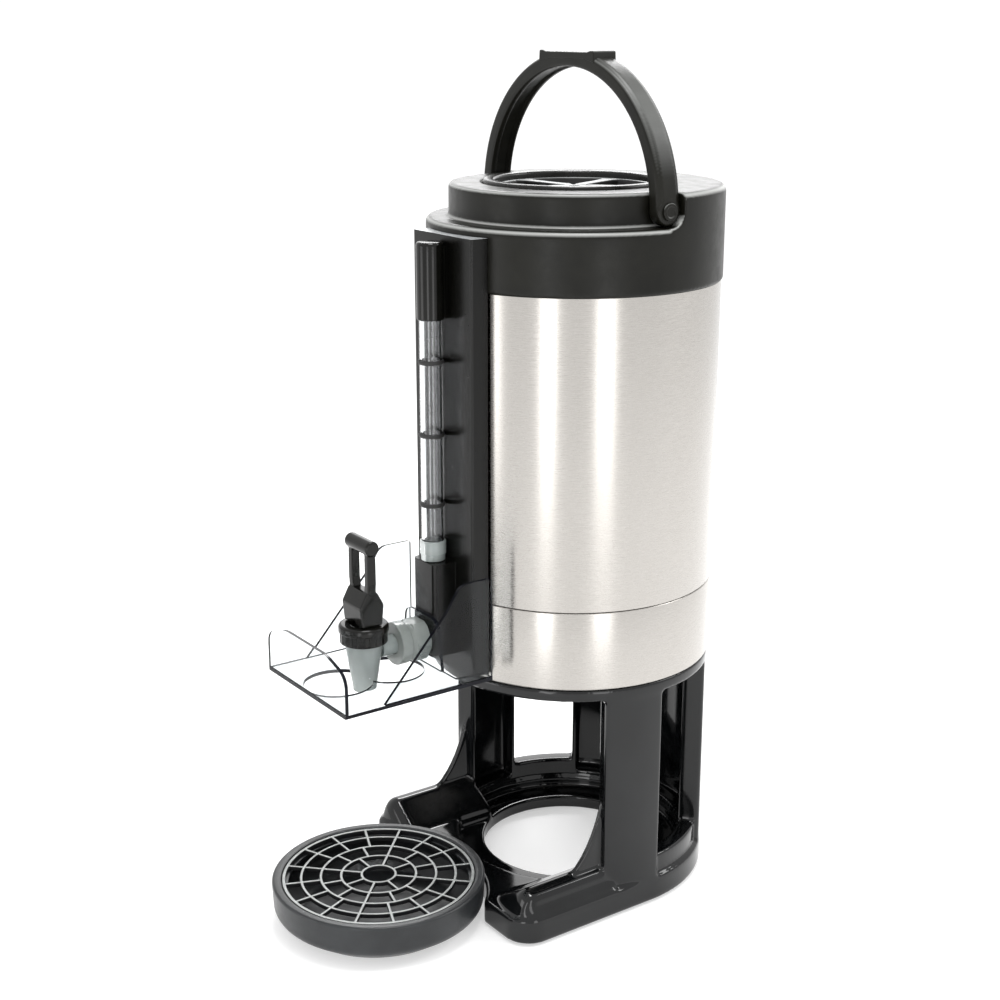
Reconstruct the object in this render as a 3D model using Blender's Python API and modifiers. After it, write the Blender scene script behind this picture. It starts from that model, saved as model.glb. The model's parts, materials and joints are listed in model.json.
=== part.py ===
"""Insulated gravity beverage dispenser on a moulded stand, with sight gauge, faucet, guard and drip tray.

The tank axis is the Z axis of the modelling frame, the faucet points along -Y and the ground is z = 0.
Every piece hangs on the assembly empty, which centres the object's footprint on the origin.
"""

import math

import bmesh
import bpy
from mathutils import Matrix, Vector

MM = 0.001
GAP = 0.3 * MM

# Tank and shells
SHELL_R = 105.0 * MM
SHELL_WALL = 0.8 * MM
SHELL_BASE_Z = 178.8 * MM
SEAM_Z = 237.2 * MM
SHELL_TOP_Z = 457.4 * MM
LINER_R = 92.0 * MM
LINER_BASE_Z = 196.0 * MM
LINER_WALL = 0.8 * MM
SHOULDER_Z = 452.0 * MM
NECK_R = 63.5 * MM
NECK_BASE_Z = 478.0 * MM
NECK_TOP_Z = 489.0 * MM

# Collar, lid and handle
COLLAR_R = 106.2 * MM
COLLAR_BASE_Z = 457.7 * MM
COLLAR_TOP_Z = 524.3 * MM
DRUM_R = 90.0 * MM
LEDGE_Z = 501.0 * MM
MOUTH_R = 66.0 * MM
LID_R = 65.2 * MM
LID_TOP_Z = 526.6 * MM
LID_WELL_R = 57.5 * MM
FUNNEL_SEAT_Z = 499.4 * MM
SPOKE_COUNT = 5
SPOKE_START = math.radians(60)
PIVOT_Z = 511.8 * MM
HANDLE_INNER_R = 91.2 * MM
HANDLE_OUTER_R = 102.3 * MM
HANDLE_HALF_WIDTH = 9.6 * MM
PIN_R = 4.0 * MM

# Stand
STAND_R = 104.5 * MM
STAND_TOP_Z = 178.5 * MM
RING_BASE_Z = 169.5 * MM
SKIRT_BASE_Z = 1.5 * MM
DECK_Z = 20.0 * MM
DECK_HOLE_R = 66.0 * MM
DECK_RECESS_R = 86.0 * MM
FRONT_Y = -120.0 * MM
ARM_X = 92.5 * MM
ARM_R = 12.0 * MM
ARM_Z = 26.0 * MM
ARM_TIP_Y = -104.0 * MM
COLUMN_INNER_R = 88.0 * MM
SIDE_COLUMN = (66, 98)
REAR_WALL = (130, 230)

# Drip tray
TRAY_Y = -174.4 * MM
TRAY_R = 78.0 * MM
TRAY_TOP_Z = 34.0 * MM
GRATE_R = 70.4 * MM
GRATE_RINGS = [14.0 * MM, 28.5 * MM, 43.0 * MM, 56.5 * MM, 69.0 * MM]
GRATE_SPOKES = [8, 12, 16, 16]
GRATE_BAR = 2.0 * MM

# Sight gauge
HOUSING_HALF = 34.0 * MM
HOUSING_FRONT_Y = -114.0 * MM
HOUSING_TOP_Z = 495.0 * MM
HOUSING_BASE_Z = 184.0 * MM
BLOCK_HALF = 14.0 * MM
BLOCK_FRONT_Y = -132.0 * MM
BLOCK_TOP_Z = 266.0 * MM
TUBE_Y = -123.5 * MM
TUBE_R = 8.0 * MM
TUBE_BORE_R = 6.2 * MM
MARKER_HEIGHTS = [307.3 * MM, 357.3 * MM, 408.8 * MM]

# Faucet and its guard
SHANK_Z = 209.5 * MM
SHANK_R = 8.0 * MM
SHANK_BORE_R = 5.0 * MM
FAUCET_Y = -182.0 * MM
BONNET_R = 17.75 * MM
LEVER_PIN_Z = 240.0 * MM
STEM_R = 2.4 * MM
GRIP_Z = 288.0 * MM
GUARD_Z = 188.5 * MM
GUARD_SHEET = 2.6 * MM
GUARD_HALF = 54.0 * MM
GUARD_FRONT_Y = -229.0 * MM
WING_TOP_Z = 264.0 * MM

CENTRE_Y = (COLLAR_R + TRAY_Y - TRAY_R) / 2


def clear_scene():
    for obj in list(bpy.data.objects):
        bpy.data.objects.remove(obj)


def new_collection(name):
    collection = bpy.data.collections.new(name)
    bpy.context.scene.collection.children.link(collection)
    return collection


clear_scene()
PARTS = new_collection("beverage_dispenser")
CUTTERS = new_collection("cutters")
ASSEMBLY = bpy.data.objects.new("assembly", None)
ASSEMBLY.location = (0, -CENTRE_Y, 0)
PARTS.objects.link(ASSEMBLY)


# ---------------------------------------------------------------- materials


def finish(name, color, roughness, metallic=0.0, transmission=0.0):
    material = bpy.data.materials.new(name)
    material.use_nodes = True
    shader = material.node_tree.nodes["Principled BSDF"]
    shader.inputs["Base Color"].default_value = (*color, 1)
    shader.inputs["Roughness"].default_value = roughness
    shader.inputs["Metallic"].default_value = metallic
    shader.inputs["Transmission Weight"].default_value = transmission
    return material


STAINLESS = finish("brushed_stainless", (0.62, 0.60, 0.57), 0.3, metallic=1.0)
LINER_STEEL = finish("liner_stainless", (0.55, 0.55, 0.55), 0.25, metallic=1.0)
MATTE_BLACK = finish("matte_black_plastic", (0.035, 0.034, 0.030), 0.55)
GLOSS_BLACK = finish("gloss_black_plastic", (0.012, 0.013, 0.014), 0.12)
SATIN_BLACK = finish("satin_black_plastic", (0.025, 0.025, 0.026), 0.35)
GREY_PLASTIC = finish("grey_translucent_plastic", (0.42, 0.46, 0.45), 0.3)
WHITE_PLASTIC = finish("white_translucent_plastic", (0.72, 0.74, 0.71), 0.3)
CLEAR = finish("clear_plastic", (0.9, 0.92, 0.95), 0.05, transmission=1.0)
RUBBER = finish("black_rubber", (0.02, 0.02, 0.02), 0.8)
SILICONE = finish("silicone", (0.75, 0.75, 0.72), 0.5)
FOAM = finish("insulating_foam", (0.75, 0.68, 0.45), 0.9)
FITTING_STEEL = finish("fitting_steel", (0.6, 0.6, 0.6), 0.25, metallic=1.0)


# ---------------------------------------------------------------- 2D outlines


def arc(radius, start, end, steps, centre=(0.0, 0.0)):
    """Points of an arc, with angles in degrees from the first axis."""
    points = []
    for i in range(steps + 1):
        angle = math.radians(start + (end - start) * i / steps)
        points.append((centre[0] + radius * math.cos(angle), centre[1] + radius * math.sin(angle)))
    return points


def circle(radius, steps, centre=(0.0, 0.0)):
    return arc(radius, 0, 360, steps, centre)[:-1]


def rounded(corners, closed=True, steps=2):
    """The outline through corners (u, v) or (u, v, radius), with an arc at each corner that has a radius."""
    path = []
    last = len(corners) - 1
    for i, corner in enumerate(corners):
        here = Vector(corner[:2])
        sharp = len(corner) < 3 or (not closed and i in (0, last))
        if sharp:
            path.append(tuple(here))
            continue
        before = (Vector(corners[i - 1][:2]) - here).normalized()
        after = (Vector(corners[(i + 1) % len(corners)][:2]) - here).normalized()
        half = before.angle(after) / 2
        centre = here + (before + after).normalized() * corner[2] / math.sin(half)
        reach = corner[2] / math.tan(half)
        first = here + before * reach - centre
        final = here + after * reach - centre
        start = math.atan2(first.y, first.x)
        turn = math.atan2(final.y, final.x) - start
        turn = (turn + math.pi) % (2 * math.pi) - math.pi
        for k in range(steps + 1):
            angle = start + turn * k / steps
            path.append((centre.x + corner[2] * math.cos(angle), centre.y + corner[2] * math.sin(angle)))
    return path


def bearing(radius, degrees):
    """Plan position at this radius and this angle from the front, turning towards +X."""
    angle = math.radians(degrees)
    return (radius * math.sin(angle), -radius * math.cos(angle))


def sector(inner, outer, start, end, steps):
    """Plan outline of a curved wall between two bearings."""
    turn = [start + (end - start) * i / steps for i in range(steps + 1)]
    return [bearing(outer, a) for a in turn] + [bearing(inner, a) for a in reversed(turn)]


def mirrored(points):
    return [(-u, v) for u, v in reversed(points)]


# ---------------------------------------------------------------- solids

ALONG = {
    "Z": Matrix.Identity(4),
    "Y": Matrix(((1, 0, 0, 0), (0, 0, -1, 0), (0, 1, 0, 0), (0, 0, 0, 1))),
    "X": Matrix(((0, 0, 1, 0), (1, 0, 0, 0), (0, 1, 0, 0), (0, 0, 0, 1))),
}


def add(name, mesh, material=None, origin=(0.0, 0.0, 0.0)):
    """A part, or a cutter where no material is given. The mesh is in the modelling frame."""
    mesh.transform(Matrix.Translation(-Vector(origin)))
    obj = bpy.data.objects.new(name, mesh)
    obj.location = origin
    obj.parent = ASSEMBLY
    if material is None:
        CUTTERS.objects.link(obj)
        obj.hide_render = True
        obj.display_type = "WIRE"
    else:
        PARTS.objects.link(obj)
        mesh.materials.append(material)
        mesh.shade_smooth()
        mesh.set_sharp_from_angle(angle=math.radians(35))
    return obj


def prism(name, loops, low, high, material=None, along="Z", origin=(0.0, 0.0, 0.0)):
    """Flat outlines, the inner ones as holes, extruded from low to high along one axis.

    Outlines are (x, y) along Z, (x, z) along Y and (y, z) along X.
    """
    curve = bpy.data.curves.new(name, "CURVE")
    curve.dimensions = "2D"
    curve.fill_mode = "BOTH"
    curve.extrude = (high - low) / 2
    for loop in loops:
        spline = curve.splines.new("POLY")
        spline.points.add(len(loop) - 1)
        for point, (u, v) in zip(spline.points, loop):
            point.co = (u, v, 0, 1)
        spline.use_cyclic_u = True
    guide = bpy.data.objects.new(name, curve)
    bpy.context.scene.collection.objects.link(guide)
    graph = bpy.context.evaluated_depsgraph_get()
    mesh = bpy.data.meshes.new_from_object(guide.evaluated_get(graph))
    bpy.data.objects.remove(guide)
    bm = bmesh.new()
    bm.from_mesh(mesh)
    bmesh.ops.remove_doubles(bm, verts=bm.verts, dist=1e-6)
    bmesh.ops.recalc_face_normals(bm, faces=bm.faces)
    bm.to_mesh(mesh)
    bm.free()
    middle = (low + high) / 2
    depth = -middle if along == "Y" else middle
    mesh.transform(ALONG[along] @ Matrix.Translation((0, 0, depth)))
    return add(name, mesh, material, origin)


def box(name, low, high, material=None, origin=(0.0, 0.0, 0.0)):
    mesh = bpy.data.meshes.new(name)
    bm = bmesh.new()
    bmesh.ops.create_cube(bm, size=1)
    low = Vector(low)
    high = Vector(high)
    for vert in bm.verts:
        vert.co = [(low[i] + high[i]) / 2 + vert.co[i] * (high[i] - low[i]) for i in range(3)]
    bm.to_mesh(mesh)
    bm.free()
    return add(name, mesh, material, origin)


def turned(name, profile, material=None, centre=(0.0, 0.0, 0.0), along="Z", steps=48, closed=True):
    """A profile of (radius, height) turned about an axis through the centre.

    The profile runs down its outer side. A closed one is a ring, an open one starts and ends on the axis.
    """
    mesh = bpy.data.meshes.new(name)
    edges = [(i, i + 1) for i in range(len(profile) - 1)]
    if closed:
        edges.append((len(profile) - 1, 0))
    mesh.from_pydata([(r, 0, h) for r, h in profile], edges, [])
    obj = add(name, mesh, material)
    obj.location = centre
    if along == "X":
        obj.rotation_euler = (0, math.radians(90), 0)
    if along == "Y":
        obj.rotation_euler = (math.radians(90), 0, 0)
    screw = obj.modifiers.new("turn", "SCREW")
    screw.steps = steps
    screw.render_steps = steps
    screw.use_merge_vertices = True
    screw.merge_threshold = 1e-6
    screw.use_smooth_shade = True
    return obj


def rod(name, radius, low, high, material=None, centre=(0.0, 0.0, 0.0), along="Z", steps=16):
    """A plain round bar; low and high are along its own axis, from the centre."""
    profile = [(0, high), (radius, high), (radius, low), (0, low)]
    return turned(name, profile, material, centre, along, steps, closed=False)


def tube(name, outer, inner, low, high, material=None, centre=(0.0, 0.0, 0.0), along="Z", steps=20):
    profile = [(outer, high), (outer, low), (inner, low), (inner, high)]
    return turned(name, profile, material, centre, along, steps)


def combine(target, other, operation="DIFFERENCE"):
    modifier = target.modifiers.new(operation.lower(), "BOOLEAN")
    modifier.operation = operation
    modifier.solver = "EXACT"
    modifier.object = other
    return target


def bevel(obj, width, segments=2, angle=30):
    modifier = obj.modifiers.new("bevel", "BEVEL")
    modifier.width = width
    modifier.segments = segments
    modifier.limit_method = "ANGLE"
    modifier.angle_limit = math.radians(angle)
    return obj


# ---------------------------------------------------------------- stand


def deck_outline():
    """Plan of the base: round behind, straight sides, two front feet and the round bay of the drip tray."""
    bay_r = TRAY_R + 1.0 * MM
    bay_half = math.sqrt(bay_r**2 - (FRONT_Y - TRAY_Y) ** 2)
    bay_edge = math.degrees(math.atan2(FRONT_Y - TRAY_Y, bay_half))
    corners = [(-STAND_R, 0), (-STAND_R, FRONT_Y, 20 * MM), (-bay_half, FRONT_Y)]
    feet = rounded(corners, closed=False, steps=4)
    bay = arc(bay_r, 180 - bay_edge, bay_edge, 12, (0, TRAY_Y))
    return arc(STAND_R, 0, 180, 24)[:-1] + feet[:-1] + bay + mirrored(feet[:-1])[:-1]


def fin_outline():
    """Side view of a foot's web, swept up in a quarter ellipse to the front edge of its column."""
    sweep_y = 50 * MM
    sweep_z = 88 * MM
    foot_y = -84 * MM
    arm_top = ARM_Z + ARM_R - 0.5 * MM
    sweep = []
    for i in range(9):
        angle = math.radians(90 * i / 8)
        sweep.append((foot_y + sweep_y * math.sin(angle), arm_top + sweep_z * (1 - math.cos(angle))))
    inner_y = -20 * MM
    column = [(foot_y + sweep_y, 173 * MM), (inner_y, 173 * MM), (inner_y, 15 * MM)]
    return [(foot_y, DECK_Z - 5 * MM)] + sweep + column


def build_stand():
    stand = prism("stand", [deck_outline(), circle(DECK_HOLE_R, 36)], SKIRT_BASE_Z, DECK_Z, GLOSS_BLACK)
    recess = tube("deck_recess", DECK_RECESS_R, DECK_HOLE_R - 5 * MM, 12 * MM, DECK_Z + 2 * MM, steps=36)
    combine(stand, recess)
    ring = [(STAND_R, STAND_TOP_Z), (STAND_R, RING_BASE_Z), (80 * MM, RING_BASE_Z), (80 * MM, STAND_TOP_Z)]
    combine(stand, turned("stand_ring", ring, steps=48), "UNION")
    column_base = 15 * MM
    column_top = RING_BASE_Z + 4 * MM
    walls = {
        "column_right": sector(COLUMN_INNER_R, STAND_R - 0.4 * MM, *SIDE_COLUMN, 6),
        "column_left": sector(COLUMN_INNER_R, STAND_R - 0.4 * MM, -SIDE_COLUMN[1], -SIDE_COLUMN[0], 6),
        "rear_wall": sector(COLUMN_INNER_R, STAND_R - 0.4 * MM, *REAR_WALL, 14),
    }
    for name, outline in walls.items():
        combine(stand, prism(name, [outline], column_base, column_top), "UNION")
    for side in (-1, 1):
        x = side * ARM_X
        half = ARM_R - 1.0 * MM
        foot = arc(half, 180, 360, 8, (x, ARM_TIP_Y)) + [(x + half, -33 * MM), (x - half, -33 * MM)]
        combine(stand, prism("arm_base", [foot], 10 * MM, ARM_Z), "UNION")
        hump = [(0, ARM_R)] + [(v, u) for u, v in arc(ARM_R, 0, 90, 4)[1:]]
        hump += [(ARM_R, -74 * MM), (0, -74 * MM)]
        cap = turned("arm_hump", hump, None, (x, ARM_TIP_Y, ARM_Z), "Y", 16, closed=False)
        combine(stand, cap, "UNION")
        web = prism("fin", [fin_outline()], x - 2.2 * MM, x + 2.2 * MM, along="X")
        combine(stand, web, "UNION")
    skin_r = STAND_R - 3.5 * MM
    for start, end in (SIDE_COLUMN, (-SIDE_COLUMN[1], -SIDE_COLUMN[0]), REAR_WALL):
        channel = sector(COLUMN_INNER_R - 4 * MM, skin_r, start + 2.5, end - 2.5, 10)
        combine(stand, prism("channel", [channel], DECK_Z + 6 * MM, RING_BASE_Z - 4 * MM))
    for x, y in PAD_PLACES:
        combine(stand, rod("pad_pocket", 8.3 * MM, 0, 4.3 * MM, centre=(x, y, 0)))
    for x, y in SCREW_PLACES:
        combine(stand, rod("screw_hole", 2.4 * MM, 165 * MM, 180 * MM, centre=(x, y, 0), steps=12))
    return stand


PAD_PLACES = [(s * 90 * MM, -102 * MM) for s in (-1, 1)] + [(s * 62 * MM, 70 * MM) for s in (-1, 1)]
SCREW_PLACES = [bearing(93 * MM, a) for a in (50, 116, 244, 310)]


def build_stand_fittings():
    for i, (x, y) in enumerate(PAD_PLACES):
        pad = [(0, 4.0 * MM), (8 * MM, 4.0 * MM), (8 * MM, 0), (0, 0)]
        turned(f"foot_pad_{i + 1}", pad, RUBBER, (x, y, 0), steps=16, closed=False)
    for i, (x, y) in enumerate(SCREW_PLACES):
        profile = [(0, 184 * MM), (2 * MM, 184 * MM), (2 * MM, 169.2 * MM), (4 * MM, 169.2 * MM)]
        profile += [(3.4 * MM, 166.6 * MM), (0, 166.6 * MM)]
        turned(f"stand_screw_{i + 1}", profile, FITTING_STEEL, (x, y, 0), steps=12, closed=False)


# ---------------------------------------------------------------- drip tray


def build_tray():
    """The tray's sloping wall with the grate's seat, its flat floor, and the grate."""
    floor_r = 59 * MM
    floor_top = 2.4 * MM
    profile = rounded(
        [
            (floor_r, floor_top),
            (73.6 * MM, 13 * MM),
            (74.4 * MM, 27.2 * MM),
            (66 * MM, 27.2 * MM),
            (66 * MM, 29.4 * MM),
            (71 * MM, 29.4 * MM),
            (71 * MM, 33.2 * MM),
            (TRAY_R, TRAY_TOP_Z, 1.6 * MM),
            (76.6 * MM, 12 * MM, 6 * MM),
            (60 * MM, 0),
            (floor_r, 0),
        ]
    )
    turned("drip_tray", profile, SATIN_BLACK, (0, TRAY_Y, 0), steps=36)
    rod("tray_floor", floor_r - GAP, 0, floor_top, SATIN_BLACK, (0, TRAY_Y, 0), steps=36)
    cells = [circle(GRATE_R, 40)]
    half = GRATE_BAR / 2
    for inner, outer, count in zip(GRATE_RINGS, GRATE_RINGS[1:], GRATE_SPOKES):
        for i in range(count):
            start = 360 * (i + 0.5 * (count // 4 % 2)) / count
            low = inner + half
            high = outer - half
            trim_low = math.degrees(half / low)
            trim_high = math.degrees(half / high)
            span = 360 / count
            near = arc(low, start + trim_low, start + span - trim_low, 1)
            far = arc(high, start + trim_high, start + span - trim_high, 2)
            cells.append(near + list(reversed(far)))
    cells.append(circle(GRATE_RINGS[0] - half, 16))
    grate = prism("drip_grate", cells, 29.7 * MM, 33.0 * MM, SATIN_BLACK)
    grate.location = (0, TRAY_Y, 0)


# ---------------------------------------------------------------- tank


def shank_bore(name, radius, y_front, y_back, steps=24):
    """A cutter along the faucet shank's axis."""
    return rod(name, radius, -y_back, -y_front, centre=(0, 0, SHANK_Z), along="Y", steps=steps)


def build_shells():
    inner = SHELL_R - SHELL_WALL
    cup = [(0, SHELL_BASE_Z + 1.2 * MM), (inner, SHELL_BASE_Z + 1.2 * MM), (inner, SEAM_Z - 0.2 * MM)]
    cup += [(SHELL_R, SEAM_Z - 0.2 * MM), (SHELL_R, SHELL_BASE_Z), (0, SHELL_BASE_Z)]
    lower = turned("lower_shell", cup, STAINLESS, steps=48, closed=False)
    combine(lower, shank_bore("lower_shell_bore", SHANK_R + GAP, -115 * MM, -90 * MM))
    for x, y in SCREW_PLACES:
        combine(lower, rod("shell_hole", 2.4 * MM, 175 * MM, 190 * MM, centre=(x, y, 0), steps=12))
    tube("outer_shell", SHELL_R, inner, SEAM_Z, SHELL_TOP_Z, STAINLESS, steps=48)
    tube("shell_joint_ring", inner - GAP, 101 * MM, SEAM_Z - 7 * MM, SEAM_Z + 8 * MM, MATTE_BLACK, steps=36)


def build_liner():
    """The drink tank: a rolled wall, a flat base and a cone with the neck, welded together."""
    bore_r = LINER_R - LINER_WALL
    wall = tube("tank_wall", LINER_R, bore_r, LINER_BASE_Z, SHOULDER_Z, LINER_STEEL, steps=36)
    combine(wall, shank_bore("liner_bore", SHANK_R + GAP, -98 * MM, -84 * MM))
    disc_r = bore_r - GAP
    disc_z = LINER_BASE_Z + 1 * MM
    base = [(0, disc_z), (disc_r, disc_z), (disc_r, LINER_BASE_Z), (0, LINER_BASE_Z)]
    turned("tank_base", base, LINER_STEEL, steps=36, closed=False)
    low = SHOULDER_Z + 0.1 * MM
    cone = [(bore_r, low), (NECK_R - LINER_WALL, NECK_BASE_Z), (NECK_R - LINER_WALL, NECK_TOP_Z)]
    cone += [(NECK_R, NECK_TOP_Z), (NECK_R, NECK_BASE_Z), (LINER_R, low)]
    turned("tank_shoulder", cone, LINER_STEEL, steps=36)
    foam = [(0, 195.5 * MM), (LINER_R + 0.8 * MM, 195.5 * MM), (LINER_R + 0.8 * MM, 446 * MM)]
    foam += [(100.5 * MM, 446 * MM), (100.5 * MM, 186 * MM), (0, 186 * MM)]
    jacket = turned("insulation_jacket", foam, FOAM, steps=36, closed=False)
    combine(jacket, shank_bore("jacket_bore", 16 * MM, -110 * MM, -86 * MM))
    neck = [(70 * MM, 496.6 * MM), (70 * MM, 483 * MM)]
    neck += [(NECK_R + GAP, 483 * MM), (NECK_R + GAP, 489.4 * MM)]
    neck += [(66 * MM, 489.4 * MM), (66 * MM, 496.6 * MM)]
    turned("neck_ring", neck, MATTE_BLACK, steps=36)


# ---------------------------------------------------------------- collar, lid and handle


def build_collar():
    profile = rounded(
        [
            (MOUTH_R, COLLAR_TOP_Z, 1.5 * MM),
            (COLLAR_R, COLLAR_TOP_Z, 5 * MM),
            (COLLAR_R, COLLAR_BASE_Z, 0.8 * MM),
            (103.8 * MM, COLLAR_BASE_Z),
            (103.8 * MM, 447 * MM),
            (101.4 * MM, 447 * MM),
            (101.4 * MM, 497 * MM),
            (86 * MM, 497 * MM),
            (86 * MM, 519 * MM),
            (72 * MM, 519 * MM),
            (72 * MM, 497 * MM),
            (MOUTH_R, 497 * MM),
        ]
    )
    collar = turned("top_collar", profile, MATTE_BLACK, steps=48)
    far = COLLAR_R + 10 * MM
    front = arc(far, 180, 360, 24) + list(reversed(arc(DRUM_R, 180, 360, 36)))
    combine(collar, prism("handle_ledge", [front], LEDGE_Z, COLLAR_TOP_Z + 10 * MM))
    notch_r = HANDLE_HALF_WIDTH + 0.8 * MM
    for side in (-1, 1):
        x_low, x_high = sorted((side * 89.4 * MM, side * far))
        slot = arc(notch_r, 180, 360, 12, (0, PIVOT_Z))
        slot += [(notch_r, COLLAR_TOP_Z + 10 * MM), (-notch_r, COLLAR_TOP_Z + 10 * MM)]
        combine(collar, prism("handle_notch", [slot], x_low, x_high, along="X"))
        hole = rod("pin_hole", PIN_R + GAP, *sorted((side * 80 * MM, side * 94 * MM)))
        hole.location = (0, 0, PIVOT_Z)
        hole.rotation_euler = (0, math.radians(90), 0)
        combine(collar, hole)
    return collar


def build_lid():
    ring = rounded(
        [
            (LID_WELL_R, LID_TOP_Z, 2 * MM),
            (LID_R, LID_TOP_Z, 2 * MM),
            (LID_R, 491.6 * MM),
            (52 * MM, 491.6 * MM),
            (52 * MM, FUNNEL_SEAT_Z),
            (LID_WELL_R, FUNNEL_SEAT_Z),
        ]
    )
    turned("lid_ring", ring, MATTE_BLACK, steps=36)
    gasket = [(65 * MM, 491.3 * MM), (65 * MM, 489.7 * MM), (58 * MM, 489.7 * MM), (58 * MM, 491.3 * MM)]
    turned("lid_gasket", gasket, SILICONE, steps=24)
    hub_top = 521 * MM
    bowl = [
        (4.6 * MM, hub_top),
        (10 * MM, hub_top),
        (10 * MM, 498 * MM),
        (51 * MM, 503 * MM),
        (54.4 * MM, 522 * MM),
        (57.1 * MM, 522 * MM),
        (57.1 * MM, FUNNEL_SEAT_Z + GAP),
        (51 * MM, FUNNEL_SEAT_Z + GAP),
        (9.4 * MM, 495 * MM),
        (9.4 * MM, 486 * MM),
        (6.3 * MM, 486 * MM),
        (6.3 * MM, 495 * MM),
        (4.6 * MM, 495 * MM),
    ]
    funnel = turned("brew_funnel", bowl, MATTE_BLACK, steps=30)
    for i in range(SPOKE_COUNT):
        angle = SPOKE_START + 2 * math.pi * i / SPOKE_COUNT
        half = 3.5 * MM
        spoke = [(8 * MM, -half), (55.6 * MM, -half), (55.6 * MM, half), (8 * MM, half)]
        web = prism("spoke", [spoke], 516 * MM, 520.6 * MM)
        web.rotation_euler = (0, 0, angle - math.pi / 2)
        combine(funnel, web, "UNION")
        drain = rod("drain", 2.4 * MM, 490 * MM, 503 * MM, steps=8)
        drain.location = (*bearing(22 * MM, math.degrees(angle) + 36), 0)
        combine(funnel, drain)
    tube("brew_stem", 6 * MM, 4.5 * MM, 206 * MM, 494.7 * MM, WHITE_PLASTIC, steps=16)


def build_handle():
    pivot = (0, 0, PIVOT_Z)
    flat_z = PIVOT_Z + 98.2 * MM
    crown = math.degrees(math.asin((flat_z - PIVOT_Z) / HANDLE_OUTER_R))
    outer = arc(HANDLE_OUTER_R, 0, crown, 14, (0, PIVOT_Z))
    outer += arc(HANDLE_OUTER_R, 180 - crown, 180, 14, (0, PIVOT_Z))
    inner = list(reversed(arc(HANDLE_INNER_R, 0, 180, 32, (0, PIVOT_Z))))
    half = HANDLE_HALF_WIDTH
    handle = prism("handle", [outer + inner], -half, half, MATTE_BLACK, "Y", pivot)
    length = HANDLE_OUTER_R - HANDLE_INNER_R
    for side in (-1, 1):
        middle = side * (HANDLE_INNER_R + HANDLE_OUTER_R) / 2
        eye = rod("handle_eye", HANDLE_HALF_WIDTH, middle - length / 2, middle + length / 2)
        eye.location = pivot
        eye.rotation_euler = (0, math.radians(90), 0)
        combine(handle, eye, "UNION")
        hole = rod("handle_hole", PIN_R + GAP, middle - length, middle + length, steps=20)
        hole.location = pivot
        hole.rotation_euler = (0, math.radians(90), 0)
        combine(handle, hole)
        name = "pivot_pin_right" if side > 0 else "pivot_pin_left"
        head = [(0, 103.9 * MM), (5 * MM, 103.9 * MM), (6 * MM, 103.4 * MM), (6 * MM, 102.6 * MM)]
        pin = head + [(PIN_R, 102.6 * MM), (PIN_R, 82 * MM), (0, 82 * MM)]
        piece = turned(name, pin, MATTE_BLACK, pivot, "X", 20, closed=False)
        if side < 0:
            piece.rotation_euler = (0, math.radians(-90), 0)
    grip = box(
        "handle_grip",
        (-30.5 * MM, -10 * MM, flat_z + GAP),
        (30.5 * MM, 10 * MM, flat_z + 3.8 * MM),
        MATTE_BLACK,
        pivot,
    )
    bevel(grip, 1 * MM)


# ---------------------------------------------------------------- sight gauge


def build_gauge():
    back_r = COLLAR_R + 0.4 * MM
    edge = math.degrees(math.asin(HOUSING_HALF / back_r))
    back = [bearing(back_r, -edge + 2 * edge * i / 12) for i in range(13)]
    front = [(HOUSING_HALF, -90 * MM), (HOUSING_HALF, HOUSING_FRONT_Y, 3 * MM)]
    front += [(-HOUSING_HALF, HOUSING_FRONT_Y, 3 * MM), (-HOUSING_HALF, -90 * MM)]
    outline = back + rounded(front, closed=False)[1:-1]
    housing = prism("gauge_housing", [outline], HOUSING_BASE_Z, HOUSING_TOP_Z, SATIN_BLACK)
    pocket_half = HOUSING_HALF - 4 * MM
    pocket_y = HOUSING_FRONT_Y + 2.6 * MM
    block = [(BLOCK_HALF, -112 * MM), (BLOCK_HALF, BLOCK_FRONT_Y, 3 * MM)]
    block += [(-BLOCK_HALF, BLOCK_FRONT_Y, 3 * MM), (-BLOCK_HALF, -112 * MM)]
    combine(housing, prism("block", [rounded(block)], 197 * MM, BLOCK_TOP_Z), "UNION")
    pocket_low = (-pocket_half, pocket_y, 222 * MM)
    pocket_high = (pocket_half, -90 * MM, HOUSING_TOP_Z - 3 * MM)
    combine(housing, box("housing_pocket", pocket_low, pocket_high))
    combine(housing, shank_bore("housing_bore", SHANK_R + GAP, -140.7 * MM, -90.3 * MM))
    outer_r = 9.4 * MM
    inner_r = TUBE_R + GAP
    at = (0, TUBE_Y, 0)
    combine(housing, rod("tube_socket", inner_r, 245 * MM, 300 * MM, centre=at))
    combine(housing, rod("tube_passage", 4.5 * MM, SHANK_Z + 3 * MM, 260 * MM, centre=at))
    tube("gauge_tube", TUBE_R, TUBE_BORE_R, 246 * MM, 484 * MM, CLEAR, at)
    tube("gauge_lower_fitting", outer_r, inner_r, 266.4 * MM, 281 * MM, GREY_PLASTIC, at, steps=24)
    sleeve = [(0, 491 * MM), (outer_r, 491 * MM), (outer_r, 438 * MM)]
    sleeve += [(inner_r, 438 * MM), (inner_r, 486 * MM), (0, 486 * MM)]
    cap = turned("gauge_top_cap", sleeve, SATIN_BLACK, at, steps=24, closed=False)
    bracket = box("cap_bracket", (-5 * MM, -118 * MM, 440 * MM), (5 * MM, HOUSING_FRONT_Y - GAP, 488 * MM))
    combine(cap, bracket, "UNION")
    combine(cap, rod("cap_bore", inner_r, 430 * MM, 486 * MM, centre=at))
    half_band = 1.5 * MM
    for i, height in enumerate(MARKER_HEIGHTS):
        name = f"gauge_marker_{i + 1}"
        tube(name, 9.1 * MM, inner_r, height - half_band, height + half_band, RUBBER, at)


# ---------------------------------------------------------------- faucet


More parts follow.
